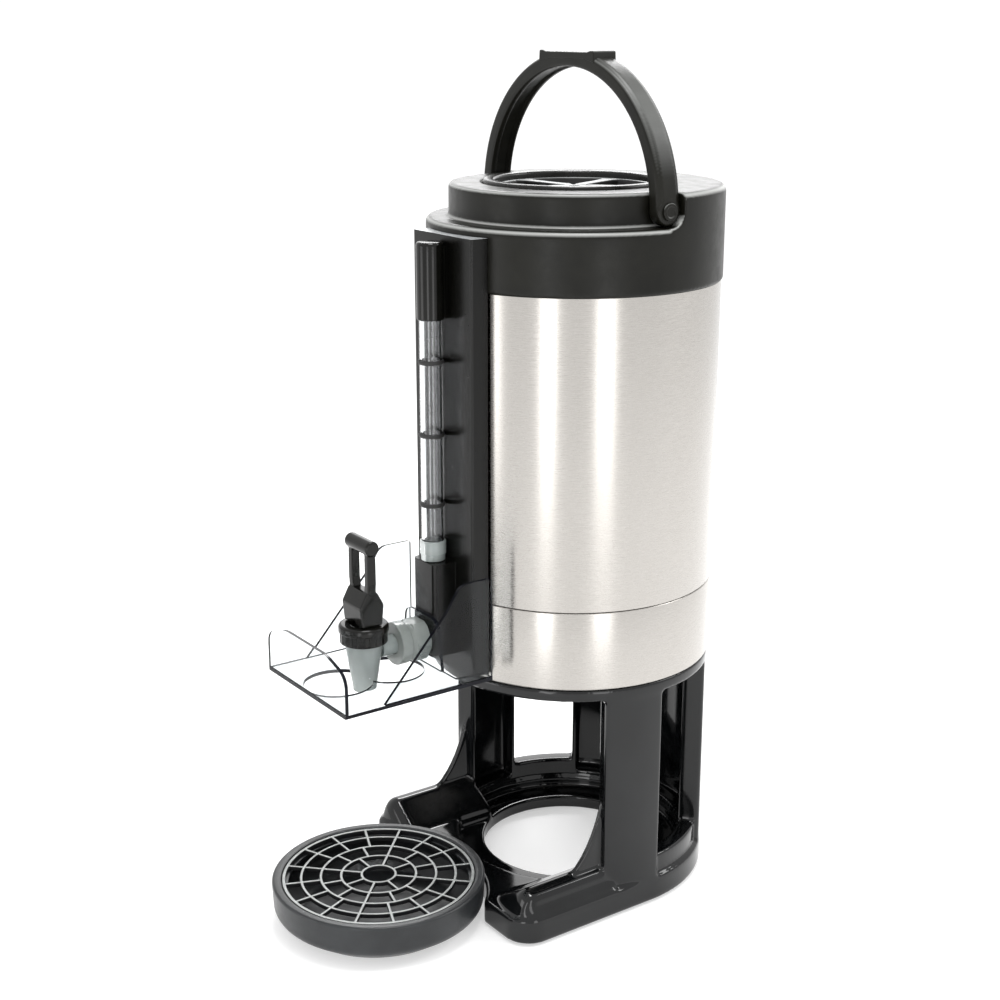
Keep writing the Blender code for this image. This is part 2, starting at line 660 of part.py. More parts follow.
def build_shank():
    """The shank, from a flange in the tank to the faucet. Its own height axis points to the front."""
    centre = (0, 0, SHANK_Z)
    shank = [
        (SHANK_R, 150.2 * MM),
        (SHANK_R, 87.3 * MM),
        (11.5 * MM, 87.3 * MM),
        (11.5 * MM, 84.8 * MM),
        (SHANK_BORE_R, 84.8 * MM),
        (SHANK_BORE_R, 150.2 * MM),
    ]
    piece = turned("faucet_shank", shank, WHITE_PLASTIC, centre, "Y", 24)
    combine(piece, rod("gauge_port", 3.5 * MM, SHANK_Z, 225 * MM, centre=(0, TUBE_Y, 0), steps=12))
    tube("tank_gasket", 10.8 * MM, SHANK_R + GAP, 87.6 * MM, 89.6 * MM, SILICONE, centre, "Y")
    hexagon = circle(13.5 * MM, 6, (0, SHANK_Z))
    thread = circle(SHANK_R + GAP, 24, (0, SHANK_Z))
    prism("liner_nut", [hexagon, thread], -98.5 * MM, -93.2 * MM, FITTING_STEEL, "Y")
    tube("coupling_gasket", 7.8 * MM, SHANK_BORE_R, 150.5 * MM, 151.9 * MM, SILICONE, centre, "Y")
    nut = rounded(
        [
            (15.5 * MM, 158.6 * MM, 1 * MM),
            (15.5 * MM, 135.2 * MM, 1 * MM),
            (SHANK_R + GAP, 135.2 * MM),
            (SHANK_R + GAP, 148 * MM),
            (12.4 * MM, 148 * MM),
            (12.4 * MM, 156.6 * MM),
            (7.6 * MM, 156.6 * MM),
            (7.6 * MM, 158.6 * MM),
        ],
        steps=1,
    )
    turned("coupling_nut", nut, WHITE_PLASTIC, centre, "Y", 24)


def build_faucet():
    centre = (0, FAUCET_Y, 0)
    port_y = 152.2 * MM
    body = [
        (0, 224 * MM),
        (14.6 * MM, 224 * MM),
        (14.6 * MM, 216.6 * MM),
        (13.2 * MM, 216.6 * MM),
        (8.4 * MM, 183 * MM),
        (8.4 * MM, 181 * MM),
        (0, 181 * MM),
    ]
    faucet = turned("faucet_body", body, GREY_PLASTIC, centre, steps=24, closed=False)
    neck = [(0, 170 * MM), (7.2 * MM, 170 * MM), (7.2 * MM, 156 * MM)]
    neck += [(12 * MM, 156 * MM), (12 * MM, port_y), (0, port_y)]
    combine(faucet, turned("faucet_neck", neck, None, (0, 0, SHANK_Z), "Y", 24, closed=False), "UNION")
    bore = [(0, 226 * MM), (11 * MM, 226 * MM), (11 * MM, 206 * MM)]
    bore += [(5.6 * MM, 201 * MM), (5.6 * MM, 178 * MM), (0, 178 * MM)]
    combine(faucet, turned("faucet_bore", bore, None, centre, "Z", 24, closed=False))
    combine(faucet, rod("port_bore", SHANK_BORE_R, 148 * MM, 176 * MM, centre=(0, 0, SHANK_Z), along="Y"))
    cup = [(0, 216 * MM), (6.5 * MM, 216 * MM), (8.6 * MM, 211 * MM), (8.6 * MM, 206.5 * MM)]
    cup += [(5.2 * MM, 202 * MM), (0, 202 * MM)]
    turned("seat_cup", cup, SILICONE, centre, steps=20, closed=False)
    stem = [(0, 244.4 * MM), (STEM_R, 244.4 * MM), (STEM_R, 216.3 * MM), (0, 216.3 * MM)]
    stem = turned("valve_stem", stem, GREY_PLASTIC, centre, steps=16, closed=False)
    pin_at = (0, FAUCET_Y, LEVER_PIN_Z)
    combine(stem, rod("stem_eye", 1.5 * MM, -6 * MM, 6 * MM, centre=pin_at, along="X", steps=12))
    rod("lever_pin", 1.2 * MM, -10 * MM, 10 * MM, FITTING_STEEL, pin_at, "X", 12)
    bonnet = rounded(
        [
            (2.9 * MM, 230.8 * MM),
            (BONNET_R, 230.8 * MM, 2 * MM),
            (BONNET_R, 217 * MM, 1 * MM),
            (15 * MM, 217 * MM),
            (15 * MM, 227.6 * MM),
            (2.9 * MM, 227.6 * MM),
        ],
        steps=2,
    )
    turned("bonnet", bonnet, SATIN_BLACK, centre, steps=24)
    build_spring()
    build_lever(pin_at)


def build_spring():
    """The closing spring, between the bonnet and the seat cup."""
    curve = bpy.data.curves.new("faucet_spring", "CURVE")
    curve.dimensions = "3D"
    curve.bevel_depth = 0.45 * MM
    curve.bevel_resolution = 0
    curve.use_fill_caps = True
    coil_r = 4.6 * MM
    turns = 4
    per_turn = 10
    low = 217 * MM
    high = 226.9 * MM
    spline = curve.splines.new("POLY")
    spline.points.add(turns * per_turn)
    for i, point in enumerate(spline.points):
        angle = 2 * math.pi * i / per_turn
        height = low + (high - low) * i / (turns * per_turn)
        point.co = (coil_r * math.cos(angle), coil_r * math.sin(angle), height, 1)
    spring = bpy.data.objects.new("faucet_spring", curve)
    spring.location = (0, FAUCET_Y, 0)
    spring.parent = ASSEMBLY
    curve.materials.append(FITTING_STEEL)
    PARTS.objects.link(spring)


def build_lever(pin_at):
    head = [(-8 * MM, 231.2 * MM, 1 * MM), (8 * MM, 231.2 * MM, 1 * MM), (9.5 * MM, 246 * MM, 4 * MM)]
    head += [(4 * MM, 256 * MM, 3 * MM), (-4 * MM, 256 * MM, 3 * MM), (-9.5 * MM, 246 * MM, 4 * MM)]
    head = [(FAUCET_Y + v[0], v[1], v[2]) for v in head]
    lever = prism("lever", [rounded(head)], -12.5 * MM, 12.5 * MM, SATIN_BLACK, "X", pin_at)
    for side in (-1, 1):
        root = side * 9 * MM
        tip = side * 10.5 * MM
        wide = 2.6 * MM
        web = [(root - wide, 250 * MM), (root + wide, 250 * MM), (tip + wide, GRIP_Z), (tip - wide, GRIP_Z)]
        fork = prism("fork", [web], FAUCET_Y - 3.4 * MM, FAUCET_Y + 3.4 * MM, along="Y")
        combine(lever, fork, "UNION")
    bar = rod("grip_bar", 5.4 * MM, -15 * MM, 15 * MM, centre=(0, FAUCET_Y, GRIP_Z), along="X", steps=20)
    combine(lever, bar, "UNION")
    combine(lever, prism("stem_slot", [stem_slot_outline()], -2.9 * MM, 2.9 * MM, along="X"))
    combine(lever, rod("pin_bore", 1.5 * MM, -10.3 * MM, 10.3 * MM, centre=pin_at, along="X", steps=12))


def stem_slot_outline():
    """The stem's sweep through the lever's head, (y, z), as the lever tips forward."""
    reach = STEM_R + 0.6 * MM
    outline = [(reach, -15 * MM), (reach, -0.5 * MM), (7.2 * MM, 5.4 * MM), (7.2 * MM, 10 * MM)]
    outline += [(-reach, 10 * MM), (-reach, 1 * MM), (-13.9 * MM, -14.7 * MM)]
    return [(FAUCET_Y + u, LEVER_PIN_Z + v) for u, v in outline]


def build_guard():
    """A folded clear sheet: a floor with a keyhole, two wings, a lip and a web behind the coupling nut."""
    top = GUARD_Z + GUARD_SHEET
    rear_y = -110 * MM
    web_back = -132.3 * MM
    floor = rounded(
        [
            (GUARD_HALF, rear_y, 4 * MM),
            (GUARD_HALF, GUARD_FRONT_Y, 3 * MM),
            (-GUARD_HALF, GUARD_FRONT_Y, 3 * MM),
            (-GUARD_HALF, rear_y, 4 * MM),
            (-43 * MM, rear_y, 2 * MM),
            (-41 * MM, web_back, 2 * MM),
            (41 * MM, web_back, 2 * MM),
            (43 * MM, rear_y, 2 * MM),
        ]
    )
    holes = keyhole_outline()
    guard = prism("faucet_guard", [floor, holes], GUARD_Z, top, CLEAR)
    wing = rounded(
        [
            (rear_y, GUARD_Z),
            (rear_y, WING_TOP_Z, 2 * MM),
            (-136 * MM, WING_TOP_Z, 10 * MM),
            (-147 * MM, 247 * MM, 20 * MM),
            (-198 * MM, top),
            (-198 * MM, GUARD_Z),
        ]
    )
    for side in (-1, 1):
        edge = side * GUARD_HALF
        low = min(edge, edge - side * GUARD_SHEET)
        combine(guard, prism("wing", [wing], low, low + GUARD_SHEET, along="X"), "UNION")
    lip = rounded(
        [
            (-GUARD_HALF, GUARD_Z),
            (GUARD_HALF, GUARD_Z),
            (GUARD_HALF, GUARD_Z + 30 * MM, 12 * MM),
            (28 * MM, GUARD_Z + 38 * MM, 40 * MM),
            (-28 * MM, GUARD_Z + 38 * MM, 40 * MM),
            (-GUARD_HALF, GUARD_Z + 30 * MM, 12 * MM),
        ]
    )
    combine(guard, prism("lip", [lip], GUARD_FRONT_Y, GUARD_FRONT_Y + GUARD_SHEET, along="Y"), "UNION")
    web = [(-26 * MM, GUARD_Z), (26 * MM, GUARD_Z), (20 * MM, 228 * MM, 8 * MM), (-20 * MM, 228 * MM, 8 * MM)]
    hole = circle(SHANK_R + GAP, 24, (0, SHANK_Z))
    combine(guard, prism("web", [rounded(web), hole], web_back - GUARD_SHEET, web_back, along="Y"), "UNION")


def keyhole_outline():
    """Two circles in a row, joined at a waist, under the nozzle."""
    radius = 24 * MM
    front_y = -203 * MM
    rear_y = -161 * MM
    meet = math.degrees(math.acos((rear_y - front_y) / 2 / radius))
    front = arc(radius, 90 + meet, 450 - meet, 20, (0, front_y))
    rear = arc(radius, -90 + meet, 270 - meet, 20, (0, rear_y))
    return front[:-1] + rear[:-1]


build_stand()
build_stand_fittings()
build_tray()
build_shells()
build_liner()
build_collar()
build_lid()
build_handle()
build_gauge()
build_shank()
build_faucet()
build_guard()
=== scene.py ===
"""Looks of the insulated beverage dispenser: surfaces, materials, studio and camera.

Shapes are built in mm, in a frame whose z axis is the tank's axis. The faucet points to -Y,
and bearings round the tank count from there towards +X. piece() turns the shapes into metres in
the shared frame. The camera and the studio are in metres from the start.
"""
import json
import math

import bmesh
import bpy
from mathutils import Matrix, Vector


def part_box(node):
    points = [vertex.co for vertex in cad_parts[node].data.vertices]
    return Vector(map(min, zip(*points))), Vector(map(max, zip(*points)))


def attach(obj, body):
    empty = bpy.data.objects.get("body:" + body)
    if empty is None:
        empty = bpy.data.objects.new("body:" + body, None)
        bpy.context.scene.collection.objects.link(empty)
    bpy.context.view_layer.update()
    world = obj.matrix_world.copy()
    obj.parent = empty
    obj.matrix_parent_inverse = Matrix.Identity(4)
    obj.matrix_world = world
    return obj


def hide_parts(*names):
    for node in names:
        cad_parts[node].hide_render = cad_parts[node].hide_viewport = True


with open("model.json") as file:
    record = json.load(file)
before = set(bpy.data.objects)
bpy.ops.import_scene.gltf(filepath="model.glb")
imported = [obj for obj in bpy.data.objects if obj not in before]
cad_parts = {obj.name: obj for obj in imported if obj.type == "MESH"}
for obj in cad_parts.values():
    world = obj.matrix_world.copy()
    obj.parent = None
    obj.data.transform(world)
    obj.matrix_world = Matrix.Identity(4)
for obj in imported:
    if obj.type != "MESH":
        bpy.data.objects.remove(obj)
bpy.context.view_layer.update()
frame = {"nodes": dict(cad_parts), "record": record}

MM = 0.001


def span(node, axis):
    """Lowest and highest place of a CAD node along x, y or z; y counts from the tank's axis."""
    low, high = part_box(node)
    shift = AXIS_Y if axis == "y" else 0.0
    return (getattr(low, axis) - shift) / MM, (getattr(high, axis) - shift) / MM


def middle(node, axis):
    return sum(span(node, axis)) / 2


shell_low, shell_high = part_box("outer_shell")
AXIS_Y = (shell_low.y + shell_high.y) / 2
SHELL_R = span("outer_shell", "x")[1]
SEAM_Z, SHELL_TOP_Z = span("outer_shell", "z")
SHELL_BASE_Z = span("lower_shell", "z")[0]
COLLAR_R = span("top_collar", "x")[1]
COLLAR_TOP_Z = span("top_collar", "z")[1]
LID_R = span("lid_ring", "x")[1]
LID_TOP_Z = span("lid_ring", "z")[1]
PIVOT_Z = middle("pivot_pin_left", "z")
HANDLE_OUTER_R = span("handle", "x")[1]
HANDLE_TOP_Z = span("handle", "z")[1]
GRIP_TOP_Z = span("handle_grip", "z")[1]
STAND_R = span("stand", "x")[1]
STAND_FRONT_Y = span("stand", "y")[0]
STAND_TOP_Z = span("stand", "z")[1]
TRAY_R = span("drip_tray", "x")[1]
TRAY_Y = middle("drip_tray", "y")
TRAY_TOP_Z = span("drip_tray", "z")[1]
GRATE_R = span("drip_grate", "x")[1]
GRATE_LOW_Z, GRATE_TOP_Z = span("drip_grate", "z")
HOUSING_FRONT_Y = -114.0  # of its tall part; the block at its foot stands further forward
HOUSING_BASE_Z, HOUSING_TOP_Z = span("gauge_housing", "z")
HOUSING_HALF = span("gauge_housing", "x")[1]
TUBE_Y = middle("gauge_tube", "y")
TUBE_R = span("gauge_tube", "x")[1]
TUBE_LOW_Z, TUBE_TOP_Z = span("gauge_tube", "z")
CAP_R = span("gauge_top_cap", "x")[1]
CAP_LOW_Z, CAP_TOP_Z = span("gauge_top_cap", "z")
FAUCET_Y = middle("bonnet", "y")
BONNET_R = span("bonnet", "x")[1]
BONNET_LOW_Z, BONNET_TOP_Z = span("bonnet", "z")
SHANK_Z = middle("coupling_nut", "z")
LEVER_PIN_Z = middle("lever_pin", "z")
GUARD_HALF = span("faucet_guard", "x")[1]
GUARD_FRONT_Y, GUARD_REAR_Y = span("faucet_guard", "y")
GUARD_Z, WING_TOP_Z = span("faucet_guard", "z")
BORE_R = 8.3  # round the sight tube, the shank and the foot pads


# ---------------------------------------------------------------- outlines, in mm


def arc(radius, start, end, steps, centre=(0.0, 0.0)):
    points = []
    for i in range(steps + 1):
        angle = math.radians(start + (end - start) * i / steps)
        points.append((centre[0] + radius * math.cos(angle), centre[1] + radius * math.sin(angle)))
    return points


def circle(radius, steps, centre=(0.0, 0.0)):
    return arc(radius, 0, 360, steps, centre)[:-1]


def rounded(corners, closed=True, steps=6):
    """The outline through corners (u, v) or (u, v, radius), with an arc where there is a radius."""
    path = []
    last = len(corners) - 1
    for i, corner in enumerate(corners):
        here = Vector(corner[:2])
        if len(corner) < 3 or (not closed and i in (0, last)):
            path.append(tuple(here))
            continue
        before = (Vector(corners[i - 1][:2]) - here).normalized()
        after = (Vector(corners[(i + 1) % len(corners)][:2]) - here).normalized()
        half = before.angle(after) / 2
        centre = here + (before + after).normalized() * corner[2] / math.sin(half)
        reach = corner[2] / math.tan(half)
        first = here + before * reach - centre
        final = here + after * reach - centre
        start = math.atan2(first.y, first.x)
        turn = math.atan2(final.y, final.x) - start
        turn = (turn + math.pi) % (2 * math.pi) - math.pi
        for k in range(steps + 1):
            angle = start + turn * k / steps
            u = centre.x + corner[2] * math.cos(angle)
            v = centre.y + corner[2] * math.sin(angle)
            path.append((u, v))
    return path


def bearing(radius, degrees):
    """Plan position at this radius and this angle from the front, turning towards +X."""
    angle = math.radians(degrees)
    return (radius * math.sin(angle), -radius * math.cos(angle))


def sector(inner, outer, start, end, steps):
    """Plan outline of a piece of a round wall."""
    turn = [start + (end - start) * i / steps for i in range(steps + 1)]
    return [bearing(outer, a) for a in turn] + [bearing(inner, a) for a in reversed(turn)]


def mirrored(points):
    return [(-u, v) for u, v in reversed(points)]


# ---------------------------------------------------------------- meshes, in mm

TURN_TO = {
    "Z": Matrix.Identity(4),
    "Y": Matrix(((1, 0, 0, 0), (0, 0, -1, 0), (0, 1, 0, 0), (0, 0, 0, 1))),
    "X": Matrix(((0, 0, 1, 0), (1, 0, 0, 0), (0, 1, 0, 0), (0, 0, 0, 1))),
}


def linked(bm, name="shape"):
    """Turns a bmesh into an object of the scene."""
    mesh = bpy.data.meshes.new(name)
    bm.to_mesh(mesh)
    bm.free()
    obj = bpy.data.objects.new(name, mesh)
    bpy.context.scene.collection.objects.link(obj)
    return obj


def mesh_object(bm, along="Z", centre=(0, 0, 0)):
    """Turns a bmesh that was built along z into an object along this axis and at this place."""
    bmesh.ops.recalc_face_normals(bm, faces=bm.faces)
    bm.transform(Matrix.Translation(centre) @ TURN_TO[along])
    return linked(bm)


def turned(profile, steps=192, along="Z", centre=(0, 0, 0), closed=True):
    """Turns (radius, height) points round an axis; an open profile starts and ends on the axis."""
    bm = bmesh.new()
    rings = []
    for radius, height in profile:
        if radius < 1e-6:
            rings.append([bm.verts.new((0, 0, height))] * steps)
            continue
        ring = []
        for i in range(steps):
            angle = 2 * math.pi * i / steps
            ring.append(bm.verts.new((radius * math.cos(angle), radius * math.sin(angle), height)))
        rings.append(ring)
    pairs = list(zip(rings, rings[1:]))
    if closed:
        pairs.append((rings[-1], rings[0]))
    for low, high in pairs:
        for i in range(steps):
            k = (i + 1) % steps
            corners = []
            for vert in (low[i], low[k], high[k], high[i]):
                if vert not in corners:
                    corners.append(vert)
            if len(corners) > 2:
                bm.faces.new(corners)
    return mesh_object(bm, along, centre)


def prism(loops, low, high, along="Z"):
    """Extrudes an outline, the first loop, with holes, the other loops."""
    bm = bmesh.new()
    edges = []
    for loop in loops:
        verts = [bm.verts.new((u, v, low)) for u, v in loop]
        edges += [bm.edges.new((verts[i - 1], verts[i])) for i in range(len(verts))]
    if len(loops) == 1:
        faces = [bm.faces.new(bm.verts[:])]
    else:
        filled = bmesh.ops.triangle_fill(bm, edges=edges, use_beauty=True, use_dissolve=False)
        faces = [item for item in filled["geom"] if isinstance(item, bmesh.types.BMFace)]
    extruded = bmesh.ops.extrude_face_region(bm, geom=faces)
    top = [item for item in extruded["geom"] if isinstance(item, bmesh.types.BMVert)]
    bmesh.ops.translate(bm, verts=top, vec=(0, 0, high - low))
    return mesh_object(bm, along)


def box(low, high):
    outline = [(low[0], low[1]), (high[0], low[1]), (high[0], high[1]), (low[0], high[1])]
    return prism([outline], low[2], high[2])


def rod(radius, low, high, along="Z", centre=(0, 0, 0), steps=48, edge=0.0):
    """A round bar, with its ends rounded off by the radius edge."""
    profile = [(0, low), (radius, low, edge), (radius, high, edge), (0, high)]
    if not edge:
        profile = [corner[:2] for corner in profile]
    return turned(rounded(profile, closed=False, steps=4), steps, along, centre, closed=False)


def applied(obj):
    """Bakes the object's modifiers into its mesh."""
    bpy.context.view_layer.update()
    evaluated = obj.evaluated_get(bpy.context.evaluated_depsgraph_get())
    mesh = bpy.data.meshes.new_from_object(evaluated)
    obj.modifiers.clear()
    obj.data = mesh
    return obj


def joined(parts):
    """Puts several meshes in one object."""
    bm = bmesh.new()
    for part in parts:
        bm.from_mesh(part.data)
        bpy.data.objects.remove(part)
    return linked(bm)


def boolean(target, others, operation="DIFFERENCE", solver="MANIFOLD"):
    for other in others:
        modifier = target.modifiers.new("cut", "BOOLEAN")
        modifier.object = other
        modifier.operation = operation
        modifier.solver = solver
        applied(target)
        bpy.data.objects.remove(other)
    return target


def remeshed(obj, voxel, smoothing=0):
    """Melts overlapping pieces into one skin and rounds its edges, as a moulding has."""
    modifier = obj.modifiers.new("melt", "REMESH")
    modifier.mode = "VOXEL"
    modifier.voxel_size = voxel
    modifier.use_smooth_shade = True
    if smoothing:
        smooth = obj.modifiers.new("smooth", "SMOOTH")
        smooth.factor = 0.5
        smooth.iterations = smoothing
    return applied(obj)


def moved(obj, matrix):
    obj.data.transform(matrix)
    return obj


def piece(name, obj, body, material, nodes, edge=0.0, angle=35):
    """Makes a finished mesh a piece that rides on a body and takes the place of CAD nodes."""
    obj.name = name
    obj.data.name = name
    obj.data.transform(Matrix.Translation((0, AXIS_Y, 0)) @ Matrix.Scale(MM, 4))
    obj.data.materials.clear()
    obj.data.materials.append(material)
    for polygon in obj.data.polygons:
        polygon.use_smooth = True
    if edge:
        bevel = obj.modifiers.new("edges", "BEVEL")
        bevel.width = edge * MM
        bevel.segments = 3
        bevel.limit_method = "ANGLE"
        bevel.angle_limit = math.radians(angle)
        bevel.harden_normals = True
    else:
        obj.data.set_sharp_from_angle(angle=math.radians(angle))
    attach(obj, body)
    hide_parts(*nodes)


# ---------------------------------------------------------------- materials


class Nodes:
    """Small helper that adds and links the shader nodes of one material."""

    def __init__(self, name):
        self.material = bpy.data.materials.new(name)
        self.material.use_nodes = True
        self.tree = self.material.node_tree
        self.shader = self.tree.nodes["Principled BSDF"]
        self.place = self.tree.nodes.new("ShaderNodeTexCoord").outputs["Object"]

    def link(self, source, target):
        self.tree.links.new(source, target)

    def noise(self, scale, stretch=(1, 1, 1), detail=3.0, roughness=0.5):
        mapping = self.tree.nodes.new("ShaderNodeMapping")
        mapping.inputs["Scale"].default_value = stretch
        self.link(self.place, mapping.inputs["Vector"])
        node = self.tree.nodes.new("ShaderNodeTexNoise")
        node.inputs["Scale"].default_value = scale
        node.inputs["Detail"].default_value = detail
        node.inputs["Roughness"].default_value = roughness
        self.link(mapping.outputs["Vector"], node.inputs["Vector"])
        return node.outputs["Fac"]

    def spread(self, value, low, high, from_low=0.3, from_high=0.7):
        node = self.tree.nodes.new("ShaderNodeMapRange")
        node.inputs["From Min"].default_value = from_low
        node.inputs["From Max"].default_value = from_high
        node.inputs["To Min"].default_value = low
        node.inputs["To Max"].default_value = high
        self.link(value, node.inputs["Value"])
        return node.outputs["Result"]

    def blend(self, factor, first, second):
        node = self.tree.nodes.new("ShaderNodeMix")
        node.data_type = "RGBA"
        self.link(factor, node.inputs["Factor"])
        for socket, color in ((node.inputs["A"], first), (node.inputs["B"], second)):
            if isinstance(color, tuple):
                socket.default_value = (*color, 1)
            else:
                self.link(color, socket)
        return node.outputs["Result"]

    def bump(self, height, distance, strength=1.0):
        node = self.tree.nodes.new("ShaderNodeBump")
        node.inputs["Strength"].default_value = strength
        node.inputs["Distance"].default_value = distance * MM
        self.link(height, node.inputs["Height"])
        if self.shader.inputs["Normal"].is_linked:
            self.link(self.shader.inputs["Normal"].links[0].from_socket, node.inputs["Normal"])
        self.link(node.outputs["Normal"], self.shader.inputs["Normal"])

    def facing(self):
        """How far a face points up, from -1 to 1."""
        geometry = self.tree.nodes.new("ShaderNodeNewGeometry")
        parts = self.tree.nodes.new("ShaderNodeSeparateXYZ")
        self.link(geometry.outputs["Normal"], parts.inputs["Vector"])
        return parts.outputs["Z"]

    def set(self, **values):
        for name, value in values.items():
            self.shader.inputs[name.replace("_", " ")].default_value = value


def plastic(
    name, dark, light, rough, grain=0.02, grain_scale=2500, wave=0.0, painted_highlight=None, **more
):
    """A moulded plastic: two close shades, uneven gloss and fine grain.

    It may also have a faint waviness, and a painted highlight: a paler colour on faces that tilt
    part way up, as rounded upper edges do.
    """
    nodes = Nodes(name)
    cloud = nodes.noise(35, detail=4)
    color = nodes.blend(nodes.spread(cloud, 0, 1), dark, light)
    if painted_highlight:
        # Painted highlight: faces tilted part way up, neither upright nor flat, are painted paler.
        height = nodes.facing()
        edge = nodes.blend(nodes.spread(height, 0, 1, 0.22, 0.6), color, painted_highlight)
        color = nodes.blend(nodes.spread(height, 0, 1, 0.72, 0.95), edge, color)
    nodes.link(color, nodes.shader.inputs["Base Color"])
    patch = nodes.noise(90, detail=6, roughness=0.65)
    nodes.link(nodes.spread(patch, rough[0], rough[1]), nodes.shader.inputs["Roughness"])
    nodes.bump(nodes.noise(grain_scale, detail=2), grain)
    if wave:
        nodes.bump(nodes.noise(28, detail=1), wave)
    nodes.set(**more)
    return nodes.material


def brushed(name, dark, light, rough, anisotropy, grain):
    """Sheet steel with fine scratches round the tank and faint vertical stains."""
    nodes = Nodes(name)
    scratches = nodes.noise(420, stretch=(0.35, 0.35, 9), detail=4, roughness=0.7)
    stain = nodes.noise(16, stretch=(1, 1, 0.35), detail=5)
    speck = nodes.noise(1500, detail=2)
    color = nodes.blend(nodes.spread(scratches, 0, 1), dark, light)
    color = nodes.blend(nodes.spread(stain, 0, 0.5), color, light)
    nodes.link(color, nodes.shader.inputs["Base Color"])
    nodes.link(nodes.spread(scratches, rough[0], rough[1]), nodes.shader.inputs["Roughness"])
    nodes.bump(scratches, grain)
    nodes.bump(speck, grain * 0.5)
    tangent = nodes.tree.nodes.new("ShaderNodeTangent")
    tangent.direction_type = "RADIAL"
    tangent.axis = "Z"
    nodes.link(tangent.outputs["Tangent"], nodes.shader.inputs["Tangent"])
    nodes.set(Metallic=1.0, Anisotropic=anisotropy, Anisotropic_Rotation=0.25)
    return nodes.material


def clear(name, tint, rough, ior):
    """A transparent moulding or sheet with faint smears in its gloss."""
    nodes = Nodes(name)
    smear = nodes.noise(60, stretch=(1, 1, 2), detail=5, roughness=0.6)
    shade = tuple(0.94 * channel for channel in tint)
    color = nodes.blend(nodes.spread(smear, 0, 1), tint, shade)
    nodes.link(color, nodes.shader.inputs["Base Color"])
    nodes.link(nodes.spread(smear, rough[0], rough[1]), nodes.shader.inputs["Roughness"])
    nodes.set(IOR=ior, Transmission_Weight=1.0)
    return nodes.material


def painted_sheen_plastic(name, dark, pale_low, pale_high, height=0.0, rough=(0.32, 0.5), level=0.5):
    """Black plastic whose upward faces above a height are painted pale, mottled: a painted
    reflection of the light above.
    """
    nodes = Nodes(name)
    where = nodes.tree.nodes.new("ShaderNodeSeparateXYZ")
    nodes.link(nodes.place, where.inputs["Vector"])
    mottle = nodes.noise(120, detail=6, roughness=0.7)
    pale = nodes.blend(nodes.spread(mottle, 0, 1), pale_low, pale_high)
    above = nodes.spread(where.outputs["Z"], 0, 1, (height - 1) * MM, height * MM)
    high = nodes.blend(above, dark, pale)
    # Painted reflection: faces that point up, above the height, are painted pale.
    up = nodes.spread(nodes.facing(), 0, 1, 0.55, 0.95)
    nodes.link(nodes.blend(up, dark, high), nodes.shader.inputs["Base Color"])
    nodes.link(nodes.spread(mottle, rough[0], rough[1]), nodes.shader.inputs["Roughness"])
    nodes.bump(nodes.noise(1800, detail=3), 0.03 * rough[1])
    nodes.set(Specular_IOR_Level=level)
    return nodes.material


STEEL = brushed(
    "steel_shell",
    dark=(0.40, 0.381, 0.357),
    light=(0.505, 0.484, 0.458),
    rough=(0.22, 0.33),
    anisotropy=0.8,
    grain=0.012,
)
LINER = brushed(
    "liner_steel",
    dark=(0.52, 0.52, 0.52),
    light=(0.66, 0.66, 0.66),
    rough=(0.15, 0.28),
    anisotropy=0.3,
    grain=0.008,
)
FITTING = brushed(
    "fitting_steel",
    dark=(0.50, 0.50, 0.50),
    light=(0.66, 0.66, 0.66),
    rough=(0.15, 0.28),
    anisotropy=0.2,
    grain=0.006,
)
MATTE = plastic(
    "collar_plastic",
    dark=(0.003, 0.003, 0.0018),
    light=(0.008, 0.0078, 0.0055),
    rough=(0.32, 0.44),
    grain=0.04,
    grain_scale=1400,
    # Painted highlight on the sloping faces and fillets of the handle, its grip pad and the pivot
    # caps.
    painted_highlight=(0.09, 0.092, 0.088),
    Specular_IOR_Level=0.22,
)
DRUM = plastic(
    "drum_plastic",
    dark=(0.003, 0.003, 0.0018),
    light=(0.008, 0.0078, 0.0055),
    rough=(0.30, 0.42),
    grain=0.04,
    grain_scale=1400,
    # Painted highlight: the collar's drum top edge and ledge edges are painted pale.
    painted_highlight=(0.30, 0.305, 0.295),
    Specular_IOR_Level=0.22,
)
SHINE = plastic(
    "lid_plastic",
    dark=(0.005, 0.0048, 0.004),
    light=(0.012, 0.0115, 0.010),
    rough=(0.22, 0.34),
    grain_scale=1400,
    Specular_IOR_Level=0.3,
)
GLOSS = plastic(
    "stand_plastic",
    dark=(0.001, 0.0012, 0.0014),
    light=(0.004, 0.0045, 0.005),
    rough=(0.05, 0.12),
    grain=0.003,
    grain_scale=900,
    wave=0.08,
    Specular_IOR_Level=0.42,
)
HOUSING = plastic(
    "housing_plastic",
    dark=(0.0015, 0.0015, 0.001),
    light=(0.005, 0.005, 0.004),
    rough=(0.10, 0.20),
    grain=0.006,
    grain_scale=1200,
    wave=0.05,
    Specular_IOR_Level=0.28,
)
TRAY = plastic(
    "tray_plastic",
    dark=(0.010, 0.011, 0.012),
    light=(0.022, 0.024, 0.026),
    rough=(0.30, 0.42),
    grain=0.03,
    grain_scale=1500,
    Specular_IOR_Level=0.4,
)
# The gauge cover's top face is painted pale: a painted reflection.
COVER = painted_sheen_plastic(
    "cover_plastic",
    dark=(0.002, 0.002, 0.0016),
    pale_low=(0.20, 0.21, 0.215),
    pale_high=(0.40, 0.41, 0.42),
    height=HOUSING_TOP_Z - 1.5,
    rough=(0.20, 0.28),
    level=0.26,
)
# The grate's upward faces are painted pale: a painted reflection.
GRATE = painted_sheen_plastic(
    "grate_plastic",
    dark=(0.008, 0.008, 0.009),
    pale_low=(0.20, 0.21, 0.205),
    pale_high=(0.36, 0.375, 0.365),
)
